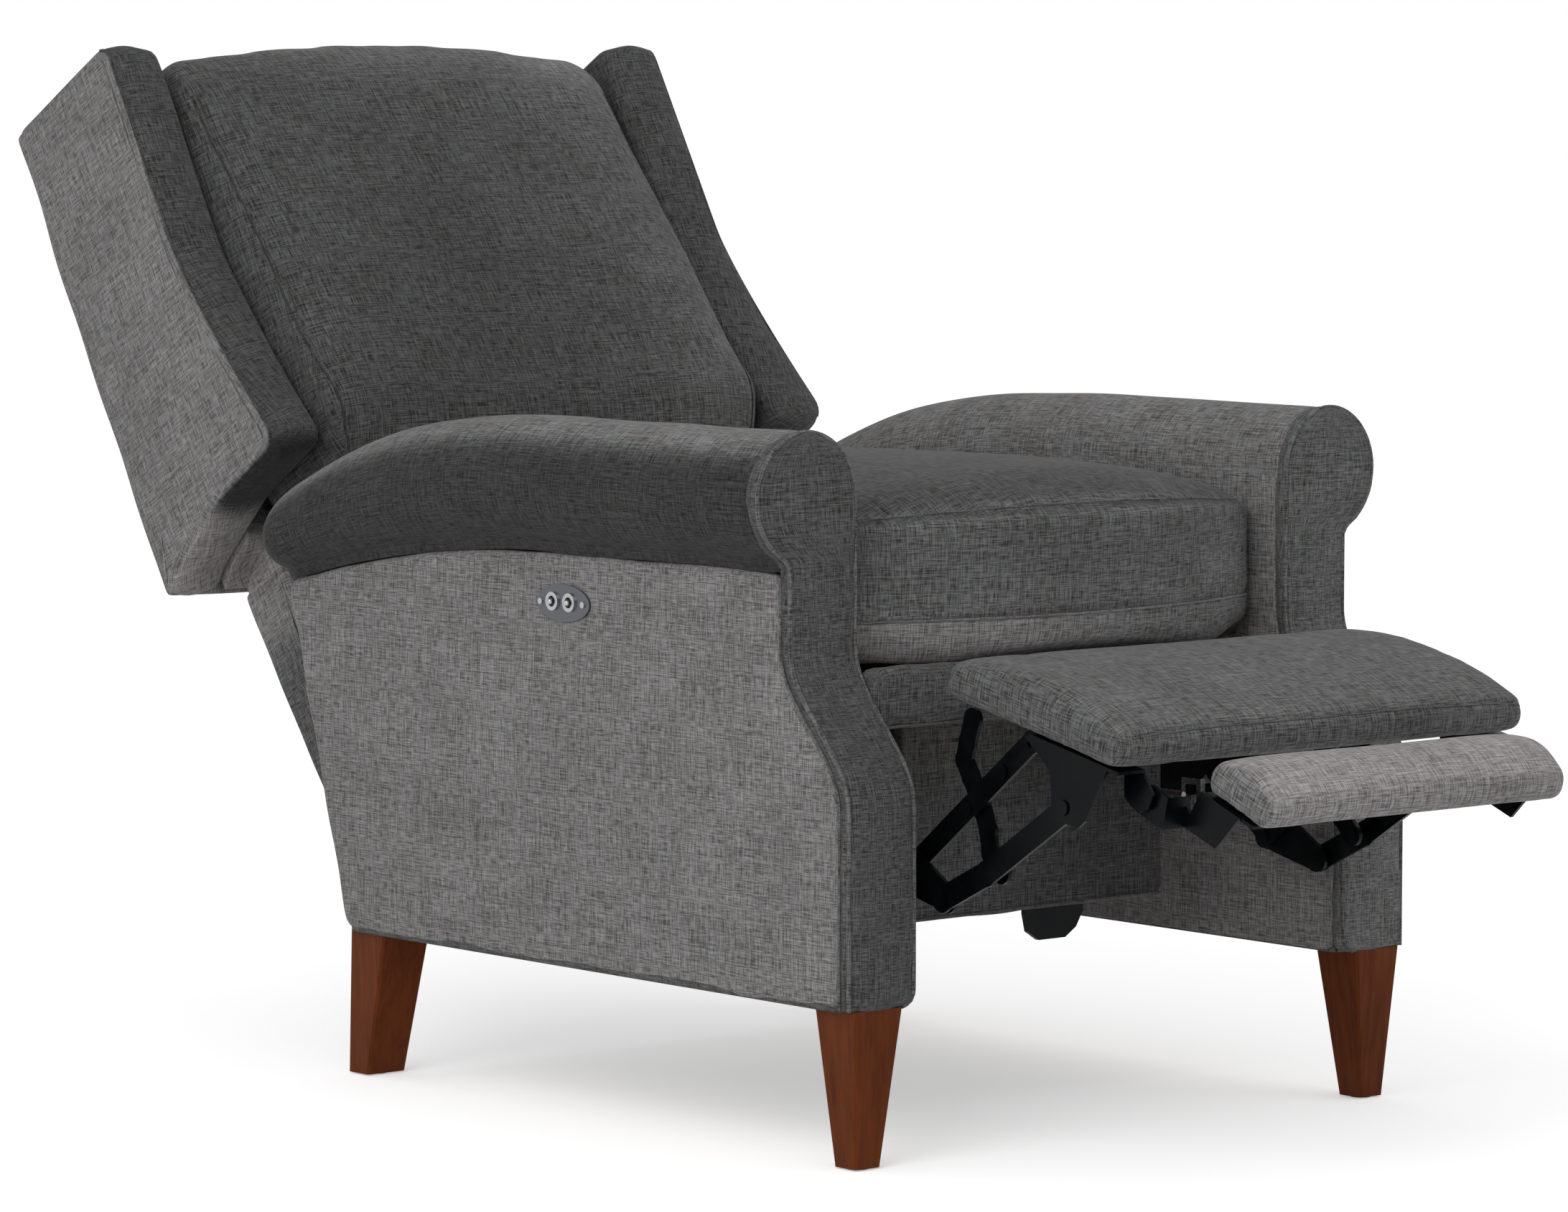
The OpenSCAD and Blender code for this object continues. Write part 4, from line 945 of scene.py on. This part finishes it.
def build_seat_underside():
    """The cloth that turns under the seat's front and closes the front rail. It is painted light."""

    def tone(co, no):
        # Painted light: lighter towards the sitter's right.
        return 124 - 24 * smooth_step(co[:, 0], -0.2, 0.2)

    rings = [underside_ring(x) for x in np.linspace(-0.2556, 0.2556, 75)]
    obj = make("seat_underside", *loft(rings), "seat", tone, slot="side_fabric")
    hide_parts("seat_lip")


# Seat cushion


def bow(x):
    """How far the seat's front lies behind its middle."""
    return 0.063 * (x / 0.266) ** 2


def flatten_front(obj):
    """Draws the cushion's front face flat between its seams."""
    co, no = coords(obj), normals(obj)
    p = local(co, CHAIR)
    between_seams = smooth_step(p[:, 2], 0.472, 0.480) * (1 - smooth_step(p[:, 2], 0.560, 0.580))
    share = smooth_step(-no[:, 1], 0.15, 0.4) * between_seams
    front = FEET_Y + 0.0520 + bow(p[:, 0])
    co[:, 1] += 0.9 * share * (front - co[:, 1])
    move(obj, co)


def to_seat_middle(p):
    """The place that a point of the seat's seam is moved towards, to lie on the cushion."""
    return (0.7 * p[0], 0.35, p[2])


def build_seat():
    def tone(co, no):
        """Painted light and shade: the boxing in front and the sides are painted lighter than the crown, the
        boxing more so low down and the crown towards the rear.
        """
        p = local(co, CHAIR)
        front = smooth_step(-no[:, 1], 0.4, 0.8)
        top = smooth_step(no[:, 2], 0.3, 0.8)
        boxing = 91 + 8 * smooth_step(-p[:, 2], -0.55, -0.48)
        crown = 73 + 8 * smooth_step(p[:, 1], 0.10, 0.45)
        return front * boxing + (1 - front) * (top * crown + (1 - top) * 92)

    obj = inflated("seat_cushion", "seat_cushion_pad", tone, CHAIR, 0.007, 0.012, calm=14)
    flatten_front(obj)
    half, y0, y1 = 0.256, 0.053, 0.645
    loop = resample([(-half, y0), (half, y0), (half, y1), (-half, y1)], 0.01, closed=True)
    loop[:, 1] += bow(loop[:, 0]) * (1 - (loop[:, 1] - 0.050) / 0.605) ** 3
    loop = soften(loop, 5)
    path = np.column_stack([loop, 0.583 - 0.011 * (loop[:, 0] / half) ** 2])
    sew(obj, np.vstack([path, path[:1]]), CHAIR, 0.0020, 0.005, 0.0002, 21, to_seat_middle)
    seam("seat_seam_upper", obj, path, CHAIR, "seat", 92, 0.0012, closed=True, middle=to_seat_middle)
    low = [(x, 0.0512 + bow(x), LIP_COVER) for x in np.linspace(-0.254, 0.254, 90)]
    tube("seat_seam_lower", low, 0.0014, "seat", 104)
    paint(obj, tone)
    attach(obj, "seat")


# Back


def wing_edge(z):
    """The wing's front edge in the back's frame: it curves forward below straight_z."""
    straight_z, bend = 0.590, 0.057
    return 0.012 - bend * np.maximum(0, (straight_z - z) / 0.239) ** 1.3


def wing_loop():
    """The wing's outline, seen from the side in the back's frame."""
    foot_z = 0.351
    edge = [(float(wing_edge(z)), z) for z in np.linspace(foot_z, BACK_TOP - 0.004, 50)]
    top = [(0.024, BACK_TOP + 0.004), (BACK_REAR - 0.004, BACK_TOP + 0.001)]
    low = [(BACK_REAR - 0.004, WING_LOW), (0.164, WING_LOW + 0.018), (0.070, 0.330)]
    low.append((float(wing_edge(foot_z)) + 0.010, 0.338))
    return rounded(edge + top + low, 0.006, 3)


# The two sewn lines along a wing's edge: inset, depth below the outer face, radius, tone and name
WING_LINES = (
    (0.0016, 0.0022, 0.0015, 66, "seam"),
    (0.0120, 0.0003, 0.0007, 92, "stitch"),
)


def wing(side, node):
    """A wing: a flat outer panel, a welt, and a padded strip that turns over to the inside."""
    t = WING_OUT - WING_IN
    loop = wing_loop()
    outer = [(0.010, t), (0.004, t - 0.0005), (0.001, t - 0.003)]
    strip = [(-0.004 * math.sin(math.pi * s), t - 0.004 - (t - 0.020) * s) for s in np.linspace(0, 0.85, 6)]
    turn = np.linspace(0.15, math.pi / 2, 6)
    round_in = [(0.014 * (1 - math.cos(a)), 0.014 - 0.014 * math.sin(a)) for a in turn]
    inner_shares = (0.92, 0.8, 0.65, 0.5, 0.35, 0.2, 0.08)
    points, faces, uv = shell(loop, (outer + strip + round_in)[::-1], (0.0, 0.0), inner_shares)
    x = WING_IN + points[:, 2]
    placed = np.column_stack([side * x, points[:, 0], points[:, 1]])

    def tone(co, no):
        """Painted light and shade: lighter on the outer and rear faces, darker on the strip in front. Below
        the wing's foot the near strip is painted darker, the far one lighter, and the rear of the underside
        light.
        """
        outer_face = smooth_step(no[:, 0] * side, 0.75, 0.95)
        p = local(co, BACK)
        under = smooth_step(0.36 - p[:, 2], 0, 0.03) * (1 - outer_face)
        dark = 71 - 30 * under if side < 0 else 73 + 20 * under
        rear_under = smooth_step(p[:, 1], 0.06, 0.10) * under
        dark = dark + (138 - dark) * rear_under
        rear_face = smooth_step(no @ np.array(BACK)[:3, 1], 0.4, 0.7) * (1 - rear_under)
        return dark + (116 - dark) * np.maximum(outer_face, rear_face)

    obj = make(node + "_pad", placed, faces, uv, "back", tone, BACK)
    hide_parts(node)
    ruffle(obj, 0.0006, 0.16, 31)
    paint(obj, tone)
    normal = outward_2d(loop)
    kept = (loop[:, 1] > 0.342) & (loop[:, 0] < 0.030)
    first = int(np.argmax(kept & ~np.roll(kept, 1)))
    for inset, depth, radius, level, word in WING_LINES:
        line = np.roll(loop - normal * inset, -first, 0)[:kept.sum()]
        path = np.column_stack([np.full(len(line), side * (WING_OUT - depth)), line])
        tube(f"{node}_{word}", path, radius, "back", level, BACK)


def build_back():
    for side, word in SIDES:
        wing(side, f"wing_{word}")
    loop = board_loop(-WING_OUT, WING_OUT, WING_LOW, BACK_TOP, 2)
    points, faces, uv = shell(loop, rim(0.0117, 0.005))
    placed = np.column_stack([points[:, 0], 0.1903 + points[:, 2], points[:, 1]])
    panel = make("back_panel_pad", placed, faces, uv, "back", 116, BACK, slot="side_fabric")
    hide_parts("back_panel")
    ruffle(panel, 0.0009, 0.15, 33)
    build_lower_back()
    build_back_cap()
    build_back_cushion()
    build_rear_rail()


def build_rear_rail():
    """The cloth over the rail between the arms, low at the rear."""
    (x0, y0, z0), (x1, y1, z1) = [(x, y - FEET_Y, z) for x, y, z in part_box("rear_rail")]
    points, faces, uv = shell(board_loop(x0, x1, z0, z1, 2), rim(y1 - y0 + 0.0024, 0.003))
    placed = np.column_stack([points[:, 0], y0 - 0.0012 + points[:, 2], points[:, 1]])
    obj = make("rear_rail_cover", placed, faces, uv, "base", 100)
    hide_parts("rear_rail")
    ruffle(obj, 0.0006, 0.10, 51)


def build_lower_back():
    """The covered lower back between the arms."""
    half = 0.262
    low_z, step_z, top_z = 0.025, 0.2047, WING_LOW - 0.0003
    front_y, step_y = 0.060, 0.124
    rear = [(0.176, low_z), (BACK_REAR, top_z)]
    section = [(front_y, low_z)] + rear + [(step_y, top_z), (step_y, step_z), (front_y, step_z)]
    loop = rounded(section, 0.006, 2)
    points, faces, uv = shell(loop, rim(2 * half, 0.010), (0.001, 0.001))
    placed = np.column_stack([points[:, 2] - half, points[:, 0], points[:, 1]])

    def tone(co, no):
        # Painted light and shade: lighter towards the top, darker low down between the arms.
        return 84 + 40 * smooth_step(local(co, BACK)[:, 2], 0.16, 0.26)

    obj = make("lower_back_pad", placed, faces, uv, "back", tone, BACK, slot="side_fabric")
    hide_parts("lower_back")
    ruffle(obj, 0.0010, 0.10, 34)
    y0, y1, z1 = 0.1243, 0.190, 0.400
    upper = [(y1, z1), (y0, z1)]
    under_wing = [(y0, WING_LOW + 0.0285), (0.164, WING_LOW + 0.0175), (y1, WING_LOW)] + upper
    beside_post = [(y0, WING_LOW - 0.008), (y1, WING_LOW - 0.008)] + upper
    for side, word in SIDES:
        ear(f"lower_back_ear_{word}", side, under_wing, 0.2455, 0.2905)
        ear(f"lower_back_cheek_{word}", side, beside_post, 0.2458, 0.2625)


def ear(name, side, outline, x0, x1):
    """Cloth that closes the back beside its posts, painted light below and painted dark behind the wing,
    where shade falls.
    """

    def tone(co, no):
        return 134 - 30 * smooth_step(local(co, BACK)[:, 2], 0.315, 0.335)

    loop = rounded(outline, 0.004, 1)
    points, faces, uv = shell(loop, rim(x1 - x0, 0.002))
    placed = np.column_stack([side * (x0 + points[:, 2]), points[:, 0], points[:, 1]])
    obj = make(name, placed, faces, uv, "back", tone, BACK, slot="side_fabric")


def build_back_cap():
    """The padded top edge between the wings, behind the cushion."""
    half = WING_IN + 0.002
    y0, y1, z0, z1 = 0.118, 0.1935, 0.780, 0.820
    loop = rounded([(y0, z0), (y1, z0), (y1, z1), (y0, z1)], 0.004, 4)
    points, faces, uv = shell(loop, rim(2 * half, 0.006))
    placed = np.column_stack([points[:, 2] - half, points[:, 0], points[:, 1]])
    obj = make("back_top_roll", placed, faces, uv, "back", 84, BACK)
    ruffle(obj, 0.0010, 0.08, 35)


# How far the back cushion's edges stand proud of the plain solid, by height
PROUD_Z = (0.26, 0.33, 0.38, 0.43, 0.485, 0.545, 0.62, 0.69, 0.74, 0.80)
PROUD_EDGE = (0.004, 0.020, 0.026, 0.025, 0.024, 0.022, 0.017, 0.012, 0.007, 0.001)


def fill_out(obj):
    """Lifts the middle of the back cushion's top, and brings its face forward, most at the two edges."""
    p = local(coords(obj), BACK)
    p[:, 2] += 0.006 * smooth_step(p[:, 2], 0.66, 0.80) * (1 - (p[:, 0] / 0.286) ** 2)
    edge = 0.30 + 0.70 * smooth_step(np.abs(p[:, 0]), 0.06, 0.25)
    near_face = smooth_step(0.100 - p[:, 1], 0.0, 0.090)
    p[:, 1] -= np.interp(p[:, 2], PROUD_Z, PROUD_EDGE) * edge * near_face
    move(obj, placed_at(p, BACK))


# The X and Z of the back cushion's edge seam, from its top to its lower end
EDGE_X = (0.268, 0.268, 0.268, 0.270, 0.268, 0.264, 0.252)
EDGE_Z = (0.760, 0.690, 0.600, 0.500, 0.420, 0.350, 0.300)


def to_cushion_rear(p):
    """The place that a point of the edge seam is moved towards, to lie on the cushion."""
    return (p[0], 0.2, p[2])


def build_back_cushion():
    def tone(co, no):
        """Painted light: lighter at the top, towards the sitter's left and where it faces up, with a little
        tone that varies at random.
        """
        n = no @ np.array(BACK)[:3, :3]
        p = local(co, BACK)
        upper = smooth_step(p[:, 2], 0.70, 0.80) * smooth_step(p[:, 0], -0.22, -0.05)
        far_side = smooth_step(p[:, 0], 0.05, 0.25)
        facing_up = smooth_step(n[:, 2], 0.2, 0.8)
        return 74 + 14 * upper + 16 * far_side + 10 * facing_up + 1.8 * waves(co, 0.25, 44)

    obj = inflated("back_cushion", "back_cushion_pad", tone, BACK, 0.009, 0.016, calm=28)
    fill_out(obj)
    for side, word in SIDES:
        path = [(side * x, 0.0, z) for x, z in zip(EDGE_X, EDGE_Z)]
        sew(obj, path, BACK, 0.0022, 0.006, 0.0004, 41, to_cushion_rear)
        seam(f"back_seam_{word}", obj, path, BACK, "back", 60, 0.0010, middle=to_cushion_rear)
    paint(obj, tone)
    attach(obj, "back")


# Footrest


def build_footrest():
    def top_tone(co, no):
        """Painted shade: darker on the right end and in front than on top."""
        n = no @ np.array(PAD)[:3, :3]
        return 95 - 10 * smooth_step(-n[:, 0], 0.4, 0.9) - 8 * smooth_step(-n[:, 1], 0.5, 0.9)

    pad = inflated("footrest_pad", "footrest_cushion", top_tone, PAD, 0.003, 0.006, voxel=0.004, rounding=4)
    line = [(x, -0.2205, 0.0385 - 0.007 * (x / 0.25) ** 4) for x in np.linspace(-0.240, 0.256, 60)]
    sew(pad, line, PAD, 0.0014, 0.005, 0.0003, 51)
    seam("footrest_seam", pad, line, PAD, "footrest", 84, 0.0007)
    paint(pad, top_tone)
    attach(pad, "footrest")

    def flip_tone(co, no):
        # Painted shade: darker on the right end and in front than on top.
        n = no @ np.array(FLIP)[:3, :3]
        return 144 - 40 * smooth_step(-n[:, 0], 0.4, 0.9) - 18 * smooth_step(-n[:, 1], 0.4, 0.9)

    small = {"voxel": 0.004, "rounding": 1, "calm": 1, "slot": "side_fabric"}
    flip = inflated("flipper_pad", "flipper_cushion", flip_tone, FLIP, 0.0025, 0.004, **small)
    paint(flip, flip_tone)
    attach(flip, "flipper")


# Stage


def in_view(s):
    """1 for camera, glossy and transmission rays, else 0."""
    seen = [s("LightPath", out=k) for k in ("Is Camera Ray", "Is Glossy Ray", "Is Transmission Ray")]
    return s.math("MAXIMUM", s.math("MAXIMUM", seen[0], seen[1]), seen[2])


def build_floor():
    """A white floor that glows only where it is looked at, like the plain ground of the photo."""
    mesh = bpy.data.meshes.new("floor")
    reach = 40
    corners = [(-reach, -reach, 0), (reach, -reach, 0), (reach, reach, 0), (-reach, reach, 0)]
    mesh.from_pydata(corners, [], [(0, 1, 2, 3)])
    floor = added("floor", mesh)
    s = Shader("floor")
    glow = {"Emission_Color": (1, 1, 1, 1), "Emission_Strength": s.math("MULTIPLY", in_view(s), FLOOR_GLOW)}
    pale = s.finish(Base_Color=(0.93, 0.93, 0.935, 1), Roughness=0.9, Specular_IOR_Level=0.0, **glow)
    mesh.materials.append(pale)


def build_world():
    """A world that looks white, and gives less light than that."""
    s = Shader("world", "worlds", "Background")
    strength = s.remap(in_view(s), 0, 1, WORLD_LIGHT, 1.0)
    bpy.context.scene.world = s.finish(Color=(1, 1, 1, 1), Strength=strength)


def build_lamps():
    for name, spot, size, power in LAMPS:
        data = bpy.data.lights.new(name, "AREA")
        data.shape = "RECTANGLE"
        data.size = data.size_y = size
        data.energy = power
        lamp = added(name, data)
        aim = Vector((0, 0, 0.5)) - Vector(spot)
        lamp.matrix_world = Matrix.Translation(spot) @ aim.to_track_quat("-Z", "Y").to_matrix().to_4x4()


bpy.context.scene.view_settings.view_transform = "Standard"
set_camera()
build_floor()
build_world()
build_lamps()
dress_cad()
build_legs()
for side, word in SIDES:
    arm_front(side, f"arm_front_{word}_pad")
    arm_panel(side, f"arm_side_{word}", inner=False)
    arm_panel(side, f"arm_inside_{word}", inner=True)
    arm_roll(side, f"arm_roll_{word}")
    arm_closings(side, word)
build_front()
build_seat()
build_back()
build_footrest()
